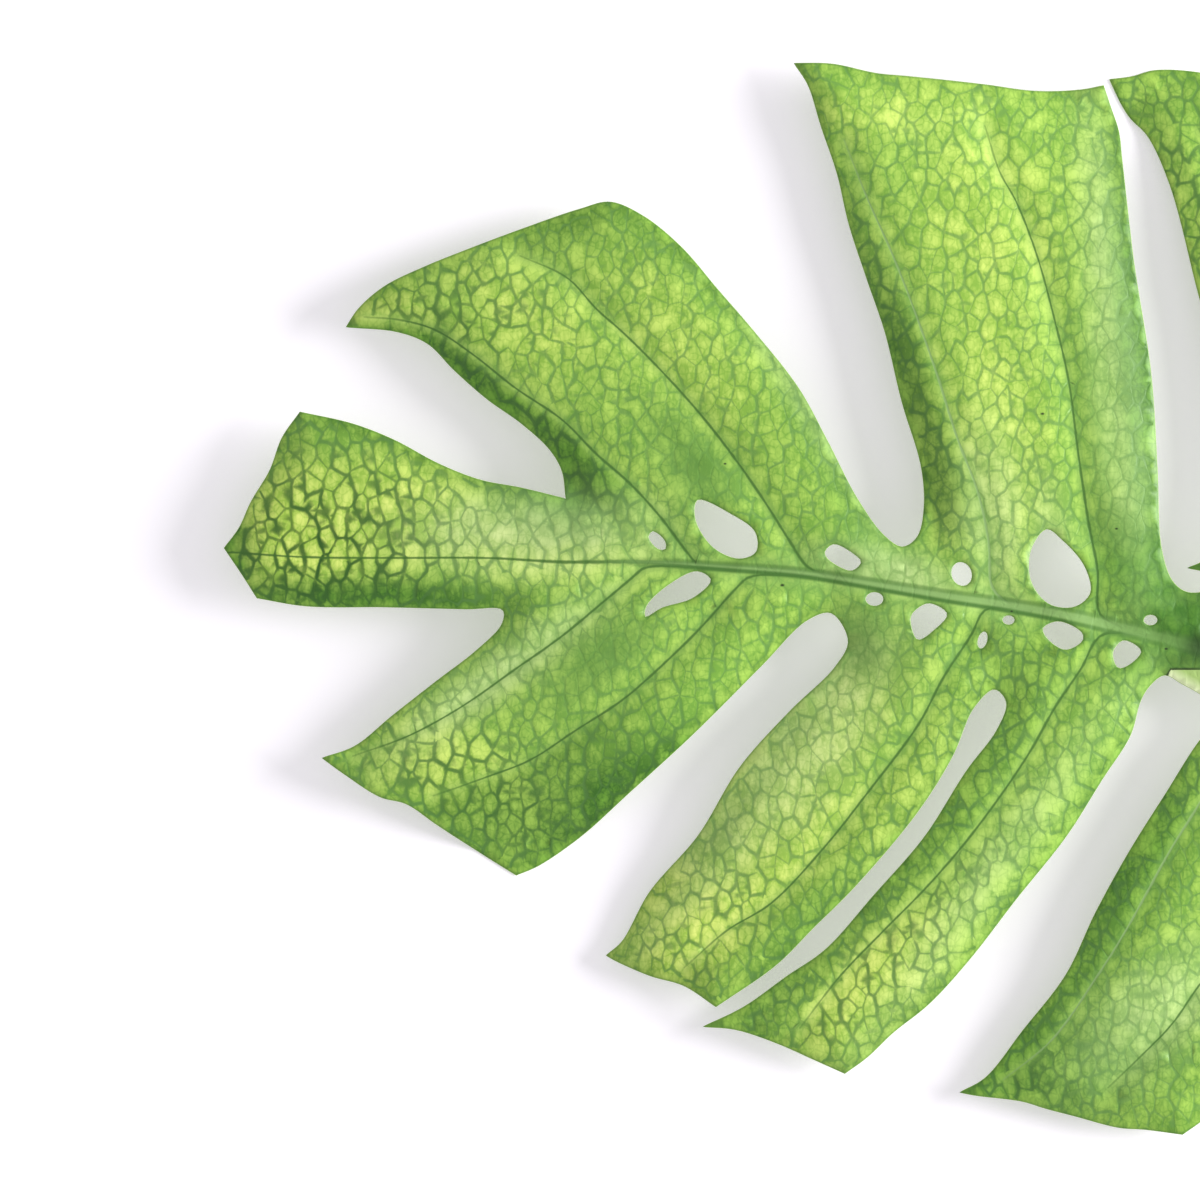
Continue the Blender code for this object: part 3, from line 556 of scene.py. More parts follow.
def middle_height(read):
    """Arch along the midrib, less the droop of the lobes, the curl of the margin, the valleys
    along the veins, the strips bent down beside some veins, and the dips."""
    x, y = read.places.T
    across = y - np.interp(x, midrib[:, 0], midrib[:, 1])
    height = CREST_HEIGHT - ((x - CREST_X) / CREST_FALL_LENGTH) ** 2
    height = height - SIDE_DROOP * np.abs(across / HALF_WIDTH) ** 1.8
    height = height - MIDRIB_VALLEY * np.exp(-(read.midrib / MIDRIB_VALLEY_WIDTH) ** 2)
    height = height - MARGIN_CURL * np.exp(-(read.margin / MARGIN_CURL_WIDTH) ** 2)
    height = height - VEIN_VALLEY * np.exp(-(read.side_vein / VEIN_VALLEY_WIDTH) ** 2)
    for name, strip_side, depth, width in BENT_STRIPS:
        height = height - depth * read.strip(name, strip_side, width)
    for spot_x, spot_y, depth, radius in SPOTS:
        height = height - depth * np.exp(-((x - spot_x) ** 2 + (y - spot_y) ** 2) / radius**2)
    return height


def quilt(read):
    """Meshes bulge between the net's veins, least beside a main vein and at the margin."""
    bulge = (1 - np.exp(-(read.net_distance / QUILT_WIDTH) ** 2)) * (0.4 + 0.6 * read.net_strength)
    calm = 1.0
    for distance, start in zip((read.side_vein, read.midrib, read.any_edge), QUILT_STARTS):
        calm = calm * (1 - np.exp(-(distance / start) ** 2))
    return QUILT_HEIGHT * bulge * calm


def under_height(read):
    """The plain solid's underside, with the ribs of the veins and the raised net."""
    rib = np.maximum(between(MIDRIB_DEPTH, read.midrib_share) * np.sqrt(read.midrib_line),
                     SIDE_VEIN_DEPTH * np.sqrt(read.side_line))
    under = middle_height(read) - SOLID_THICKNESS / 2 + quilt(read) - rib
    return np.maximum(under, 0)


def upper_height(read):
    """One thickness above the plain underside, with narrow grooves along the veins."""
    middle = middle_height(read) - SOLID_THICKNESS / 2 + BLADE_THICKNESS
    groove = SIDE_VEIN_GROOVE * np.maximum(read.side_line, 0.8 * read.midrib_line)
    thin_rim = THIN_RIM[0] * np.exp(-(read.any_edge / THIN_RIM[1]) ** 2)
    return np.maximum(middle, BLADE_THICKNESS) + quilt(read) - groove - thin_rim


def first_in_cells(places, cell):
    """Drops each place that shares a square of the cell's size with an earlier one, on four
    shifted grids, so that the kept ones stay about half a cell apart."""
    kept = np.arange(len(places))
    for shift in ((0, 0), (0.5, 0), (0, 0.5), (0.5, 0.5)):
        square = np.floor(places[kept] / cell + shift).astype(int)
        _, first = np.unique(square @ (100003, 1), return_index=True)
        kept = kept[np.sort(first)]
    return kept


def plan_triangles(step, rows, field_step):
    """The blade in plan as triangles whose edges follow the rim, the main veins and the net.
    Returns the places, the triangles and the numbers of the rim's places, ring after ring."""
    sizes = [len(loop) for loop in loops]
    starts = np.cumsum([0] + sizes[:-1])
    edges = [np.column_stack([np.arange(size), np.roll(np.arange(size), -1)]) + start
             for start, size in zip(starts, sizes)]
    points = list(loops)
    count = sum(sizes)
    veins = [even_steps(line, step) for line in [midrib[1:-1]] + [line[1:] for line in side_veins.values()]]
    net, followed, beside_net = net_lines(step)
    for line, follows in [(line, np.ones(len(line), bool)) for line in veins] + [(from_net(net), followed)]:
        inner = in_blade(line)
        numbers = count + np.cumsum(inner) - 1
        follow = follows[:-1] & inner[:-1] & inner[1:]
        edges.append(np.column_stack([numbers[:-1][follow], numbers[1:][follow]]))
        points.append(line[inner])
        count += inner.sum()
    lines = np.vstack(points)
    widths = [MIDRIB_HALF_WIDTH] + [SIDE_VEIN_HALF_WIDTH] * (len(veins) - 1)
    flanks = [beside(line, between(width, np.linspace(0, 1, len(line))) * row)
              for line, width in zip(veins, widths) for row in rows]
    flanks = np.vstack(flanks + [from_net(beside_net)])
    near = np.vstack([lines, flanks[in_blade(flanks)]])
    kept = first_in_cells(near, NET_FLANK * 1.1)
    near = np.vstack([lines, near[kept[kept >= len(lines)]]])
    across = np.arange(outline[:, 1].min(), outline[:, 1].max(), field_step * np.sqrt(3) / 2)
    x, y = np.meshgrid(np.arange(outline[:, 0].min(), outline[:, 0].max(), field_step), across)
    x = x + (np.arange(len(across)) % 2)[:, None] * field_step / 2
    field = np.column_stack([x.ravel(), y.ravel()])
    whole = np.vstack([near, field[in_blade(field)]])
    kept = first_in_cells(whole, field_step * 1.1)
    whole = np.vstack([near, whole[kept[kept >= len(near)]]])
    found = delaunay_2d_cdt([Vector(place) for place in whole.tolist()],
                            np.vstack(edges).tolist(), [], 0, 1e-5)
    plan = np.array([tuple(place) for place in found[0]])
    triangles = np.array([tuple(face) for face in found[2]])
    triangles = triangles[in_blade(plan[triangles].mean(1))]
    number = np.full(len(whole), -1)
    number[np.concatenate([np.array(ids, int) for ids in found[3]])] = np.repeat(
        np.arange(len(plan)), [len(ids) for ids in found[3]])
    return plan, triangles, [number[start:start + size] for start, size in zip(starts, sizes)]


def outward(loop, is_hole):
    """The unit direction in plan that leaves the blade at each point of a ring, and whether that is
    to the left of the ring's way."""
    left = to_left(np.roll(loop, -1, axis=0) - np.roll(loop, 1, axis=0))
    area = np.sum(loop[:, 0] * np.roll(loop[:, 1], -1) - np.roll(loop[:, 0], -1) * loop[:, 1])
    is_left = bool((area < 0) != is_hole)
    return (left if is_left else -left), is_left


def blade_parts():
    """The whole blade in millimetres: the upper face's triangles, the same ones below turned over,
    and between them a rounded rim of two rows of quads.  Returns the vertices, the readings in plan
    for each, the triangles, the quads and the material slot of each face."""
    plan, triangles, rings = plan_triangles(PLAN_STEP, PLAN_ROWS, FIELD_STEP)
    read = Readings(plan)
    upper = np.column_stack([plan, upper_height(read)])
    under = np.column_stack([plan, under_height(read)])
    middles, quads, ring_numbers = [], [], []
    count = 2 * len(plan)
    for number, (loop, ring) in enumerate(zip(loops, rings)):
        way_out, left_handed = outward(loop, number > 0)
        height = (upper[ring, 2] + under[ring, 2]) / 2
        middles.append(np.column_stack([loop + way_out * RIM_ROUND, height]))
        middle = count + np.arange(len(loop))
        count += len(loop)
        ring_numbers.append(ring)
        for high, low in ((ring, middle), (middle, ring + len(plan))):
            band = np.column_stack([high, np.roll(high, -1), np.roll(low, -1), low])
            quads.append(band if left_handed else band[:, ::-1])
    triangles = np.vstack([triangles, triangles[:, ::-1] + len(plan)])
    quads = np.vstack(quads)
    slots = np.repeat([0, 1, 2], [len(triangles) // 2, len(triangles) // 2, len(quads)])
    source = np.concatenate([np.arange(len(plan)), np.arange(len(plan)), *ring_numbers])
    return np.vstack([upper, under] + middles), read, source, triangles, quads, slots


def fill_mesh(mesh, vertices, triangles, quads, slots):
    """Puts whole arrays into a mesh: vertices, then the corners and the start of each face."""
    corners = np.concatenate([triangles.ravel(), quads.ravel()])
    sizes = np.repeat([3, 4], [len(triangles), len(quads)])
    mesh.vertices.add(len(vertices))
    mesh.vertices.foreach_set("co", vertices.astype(np.float32).ravel())
    mesh.loops.add(len(corners))
    mesh.loops.foreach_set("vertex_index", corners.astype(np.int32))
    mesh.polygons.add(len(sizes))
    mesh.polygons.foreach_set("loop_start", (np.cumsum(sizes) - sizes).astype(np.int32))
    mesh.polygons.foreach_set("material_index", slots.astype(np.int32))
    mesh.update(calc_edges=True)
    mesh.validate()
    mesh.shade_smooth()


def to_frame(places):
    """From plan millimetres to metres in the frame: the leaf's lowest plan corner is the box's."""
    corner = np.array([*PLAN_LOW_CORNER, 0.0]) * MM
    return places * MM - corner + np.array([*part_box("leaf")[0][:2], 0.0])


def put_in_scene(name, data):
    """A new object that shows a mesh, a lamp or a camera."""
    item = bpy.data.objects.new(name, data)
    bpy.context.collection.objects.link(item)
    return item


vertices, read, source, triangles, quads, slots = blade_parts()
blade_mesh = bpy.data.meshes.new("leaf_blade")
fill_mesh(blade_mesh, to_frame(vertices), triangles, quads, slots)
blade = put_in_scene("leaf_blade", blade_mesh)


# The blade's colours.  Fresh living leaf: yellow-green meshes, darker veins, deeper green with painted shade
# where the blade bends away, pale dull patches of waxy bloom and painted sheen, and yellower patches partly
# brightened with painted light.

# Strips between a vein and the margin that are deeper green and carry painted shade where the blade bends
# down away from the light:
# vein, side, where along the vein the strip starts and ends, and its strength
SHADED_DEEP_STRIPS = [
    ("A front", 1, 0.12, 1.3, 0.9),
    ("B front", 1, 0.08, 0.75, 0.6),
    ("D back", 1, 0.5, 1.3, 0.4),
    ("F", -1, 0.05, 1.3, 0.45),
    ("G front", -1, 0.1, 1.3, 0.6),
]
# Soft oval patches: X, Y, half-length, half-width, turn in degrees and strength.  Where the green is deeper
# and painted shade darkens it, where waxy bloom and a painted sheen make it pale and dull, where it is
# yellower and painted light brightens it, and where the veins are darkest.
DEEP_AND_SHADE_PATCHES = [
    (-91, 10, 5, 7, 0, 0.8),
    (-58, 1, 38, 4.5, 0, 1.0),
    (-94, 14, 8, 5, 60, 1.0),
    (-52, 42, 26, 4, -25, 0.5),
    (-50, 76, 30, 5, 20, 0.15),
    (-5, 97, 20, 8, 15, 0.5),
    (30, 80, 44, 4, -45, 0.6),
    (118, -112, 40, 10, -12, 0.5),
    (10, 92, 22, 5, -40, 0.35),
    (24, 36, 15, 9, 130, 0.5),
    (56, 34, 34, 4, -62, 0.45),
    (5, -50, 28, 9, 38, 0.95),
    (133, 66, 62, 6, 95, 1.0),
    (-38, -47, 26, 8, -32, 0.35),
    (0, -15, 15, 6, 40, 0.45),
    (40, -43, 34, 5, 55, 0.35),
    (12, -92, 14, 5, -20, 0.3),
    (66, -8, 8, 10, 0, 0.5),
    (136, 40, 46, 4, 96, 0.5),
    (138, 8, 16, 14, 0, 1.0),
    (148, -8, 20, 13, 0, 1.0),
    (136, -14, 12, 7, 30, 0.6),
    (118, -122, 26, 6, -12, 0.6),
    (132, -80, 30, 8, 58, 0.5),
]
# Pale dull patches: partly waxy bloom, partly painted sheen
BLOOM_AND_SHEEN_PATCHES = [
    (-16, 17, 30, 10, 0, 1.0),
    (-25, -18, 34, 6, 36, 0.7),
    (51, -36, 34, 13, 52, 0.7),
    (30, -58, 16, 12, 45, 0.55),
    (96, -70, 56, 6, 54, 0.4),
    (138, -104, 24, 12, 40, 0.7),
    (129, 64, 60, 6, 96, 0.75),
    (98, 22, 22, 9, 95, 0.6),
    (72, 8, 18, 5, -12, 0.8),
    (50, 52, 44, 4, 122, 0.5),
    (132, 14, 14, 4, 96, 0.2),
    (112, 18, 14, 5, 95, 0.5),
    (24, -72, 30, 5, 45, 0.3),
]
# Lighter patches: partly yellower green, partly painted light where the blade slopes away from the lamp
LIGHT_PATCHES = [
    (95, 95, 26, 20, 100, 0.5),
    (98, 60, 50, 12, 100, 0.5),
    (84, 40, 30, 12, 100, 0.4),
    (75, 122, 30, 8, 0, 0.4),
    (20, 62, 34, 12, 130, 0.45),
    (-55, 22, 26, 16, 5, 0.9),
    (-74, 18, 26, 18, 0, 1.0),
    (-42, -43, 22, 9, -32, 0.8),
    (-66, 68, 24, 9, 15, 0.9),
    (22, -86, 24, 13, 40, 1.0),
    (45, -68, 34, 8, 45, 0.9),
    (66, -96, 26, 12, 45, 0.8),
    (-20, 70, 24, 12, 150, 0.6),
    (-60, 72, 14, 6, 0, 0.7),
    (-35, -40, 24, 8, -32, 0.5),
    (140, 90, 30, 10, 110, 0.6),
    (75, -50, 30, 8, 55, 0.6),
    (50, -40, 34, 16, 52, 0.8),
    (34, -42, 40, 8, 52, 1.0),
    (14, -66, 46, 12, 52, 1.0),
    (-18, 14, 24, 8, 0, 0.9),
    (40, -62, 26, 16, 45, 0.7),
]
CRISP_PATCHES = [
    (-68, 12, 36, 26, 0, 1.0),
    (-46, 68, 30, 14, 10, 0.7),
    (-30, -48, 36, 14, -30, 0.8),
    (10, -48, 30, 12, 40, 0.7),
    (28, -84, 26, 14, 40, 0.4),
    (70, -92, 44, 12, 45, 0.6),
    (104, -120, 20, 12, 0, 0.7),
    (146, -8, 26, 22, 0, 0.8),
    (146, 90, 44, 14, 105, 0.6),
    (75, 60, 60, 6, 110, 0.5),
]
# Where the blade is smooth and even in colour, with hardly any net
CALM_PATCHES = [
    (24, 34, 15, 9, 130, 0.6),
    (0, -15, 18, 7, 40, 0.6),
    (64, -10, 10, 12, 0, 0.6),
    (72, 14, 12, 10, 0, 0.6),
    (148, -6, 20, 18, 0, 1.0),
    (134, 14, 14, 14, 0, 0.7),
    (125, 40, 34, 4, 96, 0.6),
]
PALE_VEINS = ("B front", "G front")
# Painted shade in the hollow where the lobes meet above the stalk
HOLLOW_SHADE_PATCHES = [(151, -11.5, 6, 5, 0, 1.0), (148, 4, 5, 12, 0, 0.35), (151, -15, 12, 2, 0, 0.6)]
# At the head of the gap between F and G the margin is rolled over and shows its pale underside:
# the roll's upper edge in Y, its two ends in X, its width and how steeply it opens from its left end
ROLLED_TOP, ROLLED_START, ROLLED_END = -17.4, 140.2, 162.0
ROLLED_WIDTH = 6.2
ROLLED_OPENING = 0.9
# The painted shadow along the crease under the roll's free edge fades out between these two places in X
CREASE_SHADOW_FADES = (147.0, 154.0)
# How much painted shade deepens the green along every rim, where the margin curls down, and how far in
MARGIN_SHADE, MARGIN_SHADE_WIDTH = 0.45, 2.2
# How far the calm beside the midrib and beside a side vein reaches
RIB_CALM, SIDE_CALM = 4.5, 1.5


def patches(places, rows):
    """The strongest of several soft oval spots at each place, each a bell curve across its oval."""
    x, y, half_long, half_wide, turn, strength = np.array(rows, float).T
    off_x, off_y = places[:, 0, None] - x, places[:, 1, None] - y
    cosine, sine = np.cos(np.radians(turn)), np.sin(np.radians(turn))
    along = (off_x * cosine + off_y * sine) / half_long
    across = (off_y * cosine - off_x * sine) / half_wide
    return np.max(strength * np.exp(-(along**2 + across**2) ** 1.3), axis=1)


def soft_step(value, low, high):
    """0 below the low end, 1 above the high end, and an even S-curve between."""
    share = np.clip((value - low) / (high - low), 0, 1)
    return share**2 * (3 - 2 * share)


def shaded_deep_strip(read, name, strip_side, start, end):
    """1 on one side of a vein between two shares of its length, with soft ends."""
    distance, side, along = read.beside_vein(name)
    length = len(side_veins[name]) / (len(side_veins[name]) + PAST_VEIN_END / VEIN_STEP - 1)
    window = soft_step(along / length, start, start + 0.2) * (1 - soft_step(along / length, end - 0.2, end))
    return (side == strip_side) * soft_step(distance, 0.4, 2.2) * window * np.exp(-(distance / 26) ** 4)


def colour_readings(read):
    """What the colours follow: distances to the veins, in millimetres, and shares from 0 to 1."""
    # Painted shade: along every rim where the margin curls down and in bands beside veins where the blade
    # bends away; the patches add deeper green as well as painted shade
    margin = np.exp(-(read.any_edge / MARGIN_SHADE_WIDTH) ** 2) * MARGIN_SHADE
    strips = np.max([strength * shaded_deep_strip(read, name, side, start, end)
                     for name, side, start, end, strength in SHADED_DEEP_STRIPS], axis=0)
    x, y = read.places.T
    below = ROLLED_TOP - y
    rolled = np.minimum.reduce([below, (x - ROLLED_START) * ROLLED_OPENING - below,
                                np.minimum(ROLLED_WIDTH, (ROLLED_END - x) / 2) - read.any_edge])
    is_pale = np.array([name in PALE_VEINS for name in side_veins])[read.which_side_vein]
    along_rib = np.exp(-(read.midrib / RIB_CALM) ** 2) * soft_step(read.midrib_share, 0.33, 0.5)
    calm = np.maximum(along_rib, 0.5 * np.exp(-(read.side_vein / SIDE_CALM) ** 2))
    deep_and_shade = 1 - (1 - margin) * (1 - strips) * (1 - patches(read.places, DEEP_AND_SHADE_PATCHES))
    return {
        "net_distance": np.minimum(read.net_distance, 3.0),
        "net_strength": read.net_strength,
        "vein_distance": np.minimum(read.side_vein, 6.0),
        "vein_share": read.side_vein_share,
        "vein_pale": is_pale * 1.0,
        "calm": np.maximum(calm, patches(read.places, CALM_PATCHES)),
        "rib_distance": np.clip(read.midrib, 0, 12.0) * read.midrib_side,
        "rib_share": read.midrib_share,
        "tone": seed_tone[read.mesh],
        "lower": (read.midrib_side > 0) * 1.0,
        "deep_and_shade": deep_and_shade,
        "bloom_and_sheen": patches(read.places, BLOOM_AND_SHEEN_PATCHES),
        "light": patches(read.places, LIGHT_PATCHES),
        "crisp": np.maximum(patches(read.places, CRISP_PATCHES), 0.8 * strips),
        "edge": np.minimum(read.any_edge, 4.0),
        "hollow_shade": patches(read.places, HOLLOW_SHADE_PATCHES),
        "rolled": np.clip(rolled, -3, 3),
        "creased": 1 - soft_step(x, *CREASE_SHADOW_FADES),
    }


blade_readings = colour_readings(read)
for name, values in blade_readings.items():
    layer = blade_mesh.attributes.new(name, "FLOAT", "POINT")
    layer.data.foreach_set("value", values[source].astype(np.float32))


def linear(colour):
    """sRGB hex to linear RGBA."""
    channels = np.array([int(colour[i:i + 2], 16) for i in (1, 3, 5)]) / 255
    return (*np.where(channels <= 0.04045, channels / 12.92, ((channels + 0.055) / 1.055) ** 2.4), 1.0)


def set_inputs(tree, node, inputs):
    """Fills a node's inputs, by name or number, each with a value or with another node's output."""
    for place, value in inputs.items():
        if isinstance(value, bpy.types.NodeSocket):
            tree.links.new(value, node.inputs[place])
        else:
            node.inputs[place].default_value = value


def add_node(tree, kind, inputs, output=0, **settings):
    """Adds a node with its settings and inputs, and returns one of its outputs."""
    node = tree.nodes.new("ShaderNode" + kind)
    for name, value in settings.items():
        setattr(node, name, value)
    set_inputs(tree, node, inputs)
    return node.outputs[output]


def new_material(name):
    """A material with only a Principled shader and its output, and the Object coordinates."""
    material = bpy.data.materials.new(name)
    material.use_nodes = True
    tree = material.node_tree
    return material, tree, tree.nodes["Principled BSDF"], add_node(tree, "TexCoord", {}, "Object")


NET_HALF_WIDTH = (0.16, 0.46)           # millimetres, of the weakest and the strongest net vein
SIDE_HALF_WIDTH = (0.42, 0.26)          # of a side vein's dark line, at the midrib and at its end
RIB_HALF_WIDTH = (0.34, 2.1)            # of the midrib, at the tip and where the stalk joins


def vein_lines(tree, where):
    """The readings on the mesh, and the veins as shares from 0 to 1: each is a soft line as wide as
    the vein's own strength says, a little thicker and thinner along its way."""
    at = {name: add_node(tree, "Attribute", {}, "Fac", attribute_name=name) for name in blade_readings}
    waves = add_node(tree, "TexNoise", {"Vector": where, "Scale": 1 / (2.5 * MM)})
    ramp = {name: add_node(tree, "MapRange", dict(enumerate(row))) for name, row in {
        "uneven": (waves, 0.3, 0.7, 0.72, 1.25),
        "net": (at["net_strength"], 0.3, 1.0, *NET_HALF_WIDTH),
        "side": (at["vein_share"], 0.0, 1.0, *SIDE_HALF_WIDTH),
        "rib": (at["rib_share"], 0.25, 1.0, *RIB_HALF_WIDTH),
        "wider net": (at["crisp"], 0.0, 1.0, 1.0, 1.6),
        "weak net": (at["net_strength"], 0.3, 1.0, 0.58, 1.0),
        "side's end": (at["vein_share"], 0.86, 1.0, 1.0, 0.4),
    }.items()}
    distances = {
        "net": at["net_distance"],
        "side": at["vein_distance"],
        "rib": add_node(tree, "Math", {0: at["rib_distance"]}, operation="ABSOLUTE"),
    }
    lines = {}
    for vein, distance in distances.items():
        wide = add_node(tree, "Math", {0: ramp[vein], 1: ramp["uneven"]}, operation="MULTIPLY")
        if vein == "net":
            wide = add_node(tree, "Math", {0: wide, 1: ramp["wider net"]}, operation="MULTIPLY")
        share = add_node(tree, "Math", {0: distance, 1: wide}, operation="DIVIDE")
        lines[vein] = add_node(tree, "MapRange", {0: share, 1: 0.3, 2: 1.3, 3: 1.0, 4: 0.0},
                               interpolation_type="SMOOTHSTEP")
    for vein, strength in (("net", "weak net"), ("side", "side's end")):
        lines[vein] = add_node(tree, "Math", {0: lines[vein], 1: ramp[strength]}, operation="MULTIPLY")
    return at, lines


def added_up(tree, start, parts):
    """The start plus each part less its middle value, times its weight, held from 0 to 1."""
    total = start
    for value, middle, weight in parts:
        off = add_node(tree, "Math", {0: value, 1: middle}, operation="SUBTRACT")
        total = add_node(tree, "Math", {0: off, 1: weight, 2: total}, operation="MULTIPLY_ADD")
    return add_node(tree, "Clamp", {0: total})


def laid_over(tree, colour, layers):
    """The colour with layers laid over it in turn, each as strong as its share times its weight."""
    for share, weight, over in layers:
        strength = add_node(tree, "Math", {0: share, 1: weight}, operation="MULTIPLY")
        colour = add_node(tree, "Mix", {0: strength, 6: colour, 7: over}, 2, data_type="RGBA")
    return colour


# Pinholes and spots bitten by insects: X, Y and half-width in millimetres
PINHOLES = [(45.5, 3.7, 0.55), (141.4, -12.2, 0.45), (110.5, 46.5, 0.5), (31.2, 34.0, 0.4),
            (129.0, 17.8, 0.4), (102.8, -2.8, 0.35)]


def upper_material():
    """Leaf upper skin: a thick cuticle, so a soft wax gloss over the green.  The finest veinlets are
    about 0.5 mm apart, too fine to show, and are drawn 2 mm apart."""
    material, tree, shader, where = new_material("leaf upper skin")
    at, lines = vein_lines(tree, where)
    blotch, patchy, grain = (
        add_node(tree, "TexNoise", {"Vector": where, "Scale": 1 / (size * MM), "Detail": detail})
        for size, detail in ((24, 3.0), (7, 2.0), (1.3, 2.0)))
    streaks = []
    for turn in (0.15, -0.8):
        along = add_node(tree, "Mapping", {0: where, 2: (0.0, 0.0, -turn), 3: (1.0, 0.28, 1.0)})
        streaks.append(add_node(tree, "TexNoise", {"Vector": along, "Scale": 1 / (0.8 * MM)}))
    streak = add_node(tree, "Mix", {0: at["lower"], 2: streaks[1], 3: streaks[0]})
    shift = add_node(tree, "TexNoise", {"Vector": where, "Scale": 1 / (2.5 * MM)}, 1)
    bent = add_node(tree, "VectorMath", {0: shift, 1: (1.2 * MM, 1.2 * MM, 0.0), 2: where},
                    operation="MULTIPLY_ADD")
    veinlets = add_node(tree, "TexVoronoi", {"Vector": bent, "Scale": 1 / (2.1 * MM)}, "Distance",
                        feature="DISTANCE_TO_EDGE")
    # Each ramp: what it reads, the two ends there, and its own value at each end
    straight = {
        "inside": (at["net_distance"], 0.3, 1.6, 0.0, 1.0),
        "uneven": (patchy, 0.3, 0.7, 0.75, 1.25),
        "crispness": (at["crisp"], 0.0, 1.0, 0.66, 1.0),
        "beside weaker": (at["vein_share"], 0.1, 0.9, 0.6, 0.15),
        "rib pale": (at["rib_share"], 0.34, 0.44, 0.0, 1.0),
        "rib base": (at["rib_share"], 0.8, 0.93, 0.0, 1.0),
        "rib half": (at["rib_share"], 0.34, 1.0, 0.45, 2.0),
        "border below": (at["rib_distance"], -0.2, 0.2, 0.95, 0.6),
        "border soft": (at["rib_share"], 0.78, 0.9, 1.0, 0.35),
        "rim": (at["edge"], 0.0, 0.5, 1.0, 0.0),
        "crease": (at["rolled"], -0.7, -0.2, 0.0, 1.0),
        "roll": (at["rolled"], 0.0, 0.15, 0.0, 1.0),
        "roll inner": (at["edge"], 0.0, 3.0, 0.0, 1.0),
        "sheen": (blotch, 0.3, 0.7, 0.38, 0.5),
    }
    curved = {
        "veinlet": (veinlets, 0.02, 0.14, 1.0, 0.0),
        "beside vein": (at["vein_distance"], 0.2, 2.0, 1.0, 0.0),
    }
    ramp = {name: add_node(tree, "MapRange", dict(enumerate(row)), interpolation_type=shape)
            for shape, rows in (("LINEAR", straight), ("SMOOTHSTEP", curved)) for name, row in rows.items()}
    tone = added_up(tree, 0.5, [(at["tone"], 0.5, 0.3), (ramp["inside"], 0.5, 0.55), (blotch, 0.5, 1.0),
                                (patchy, 0.5, 0.5), (grain, 0.5, 0.35), (streak, 0.5, 1.1),
                                (ramp["veinlet"], 0.2, -0.25)])
    # Deeper green with painted shade, bloom with painted sheen, yellower green with painted light, each
    # broken up unevenly
    deep_and_shade, bloom_and_sheen, light = (
        add_node(tree, "Math", {0: at[name], 1: ramp["uneven"]}, operation="MULTIPLY", use_clamp=True)
        for name in ("deep_and_shade", "bloom_and_sheen", "light"))
    made = {name: add_node(tree, "Mix", {0: share, 6: linear(first), 7: linear(last)}, 2, data_type="RGBA")
            for name, share, first, last in (
                ("usual", tone, "#74a53c", "#b0d65c"), ("pale", tone, "#a6cc4c", "#eefc84"),
                ("deep_and_shade", tone, "#376a1a", "#70a633"), ("dull", tone, "#b2ce84", "#dcf0ae"),
                ("line", at["crisp"], "#5e8c46", "#2c5a18"), ("side", deep_and_shade, "#426e28", "#2f5c1a"))}
    even = laid_over(tree, linear("#8db763"), [(deep_and_shade, 1.0, linear("#3f7a1c"))])
    flesh = laid_over(tree, made["usual"], [(light, 1.0, made["pale"]), (deep_and_shade, 1.0, made["deep_and_shade"]),
                                            (at["calm"], 0.6, even)])
    net_weight = add_node(tree, "Math", {0: at["calm"], 1: -0.75, 2: ramp["crispness"]},
                          operation="MULTIPLY_ADD", use_clamp=True)
    veined = laid_over(tree, flesh, [(lines["net"], net_weight, made["line"])])
    dull = laid_over(tree, made["dull"], [(deep_and_shade, 0.85, linear("#7ea65c")),
                                          (lines["net"], 0.5, linear("#769c54"))])
    side_colour = laid_over(tree, made["side"], [(at["vein_pale"], 0.8, linear("#93b573"))])
    rib_colour = laid_over(tree, linear("#3f6b24"), [(ramp["rib pale"], 1.0, linear("#84aa62")),
                                                     (ramp["rib base"], 0.9, linear("#5b8c38"))])
    roll_colour = laid_over(tree, linear("#e6f0c0"), [(ramp["roll inner"], 1.0, linear("#a9c774"))])
    # The dark edging along the midrib: darker green on both sides, with painted shade making it stronger on
    # one side
    away = add_node(tree, "Math", {0: at["rib_distance"]}, operation="ABSOLUTE")
    apart = add_node(tree, "Math", {0: away, 1: ramp["rib half"]}, operation="SUBTRACT")
    apart = add_node(tree, "Math", {0: apart}, operation="ABSOLUTE")
    rib_border_shade = add_node(tree, "MapRange", {0: apart, 1: 0.15, 2: 0.95, 3: 1.0, 4: 0.0},
                      interpolation_type="SMOOTHSTEP")
    soft, band, crease = (
        add_node(tree, "Math", {0: first, 1: second}, operation="MULTIPLY")
        for first, second in ((ramp["rib pale"], ramp["border soft"]),
                              (ramp["beside vein"], ramp["beside weaker"]), (ramp["crease"], at["creased"])))
    rib_border_shade = add_node(tree, "Math", {0: rib_border_shade, 1: soft}, operation="MULTIPLY")
    layers = [(bloom_and_sheen, 0.66, dull), (band, 0.8, linear("#5a8c38")), (lines["side"], 0.9, side_colour),
              (lines["rib"], 0.9, rib_colour), (rib_border_shade, ramp["border below"], linear("#43702a")),
              # painted shade in the hollow above the stalk
              (ramp["rim"], 0.5, linear("#3d6e28")), (at["hollow_shade"], 0.88, linear("#18380e")),
              # painted shadow along the crease under the rolled edge
              (crease, 0.85, linear("#10200a")), (ramp["roll"], 0.9, roll_colour)]
    for x, y, half_width in PINHOLES:
        place = to_frame(np.array([x, y, 0.0]))
        apart = add_node(tree, "VectorMath", {0: where, 1: (*place[:2], 0.0)}, operation="SUBTRACT")
        flat = add_node(tree, "VectorMath", {0: apart, 1: (1.0, 1.6, 0.0)}, operation="MULTIPLY")
        away = add_node(tree, "VectorMath", {0: flat}, "Value", operation="LENGTH")
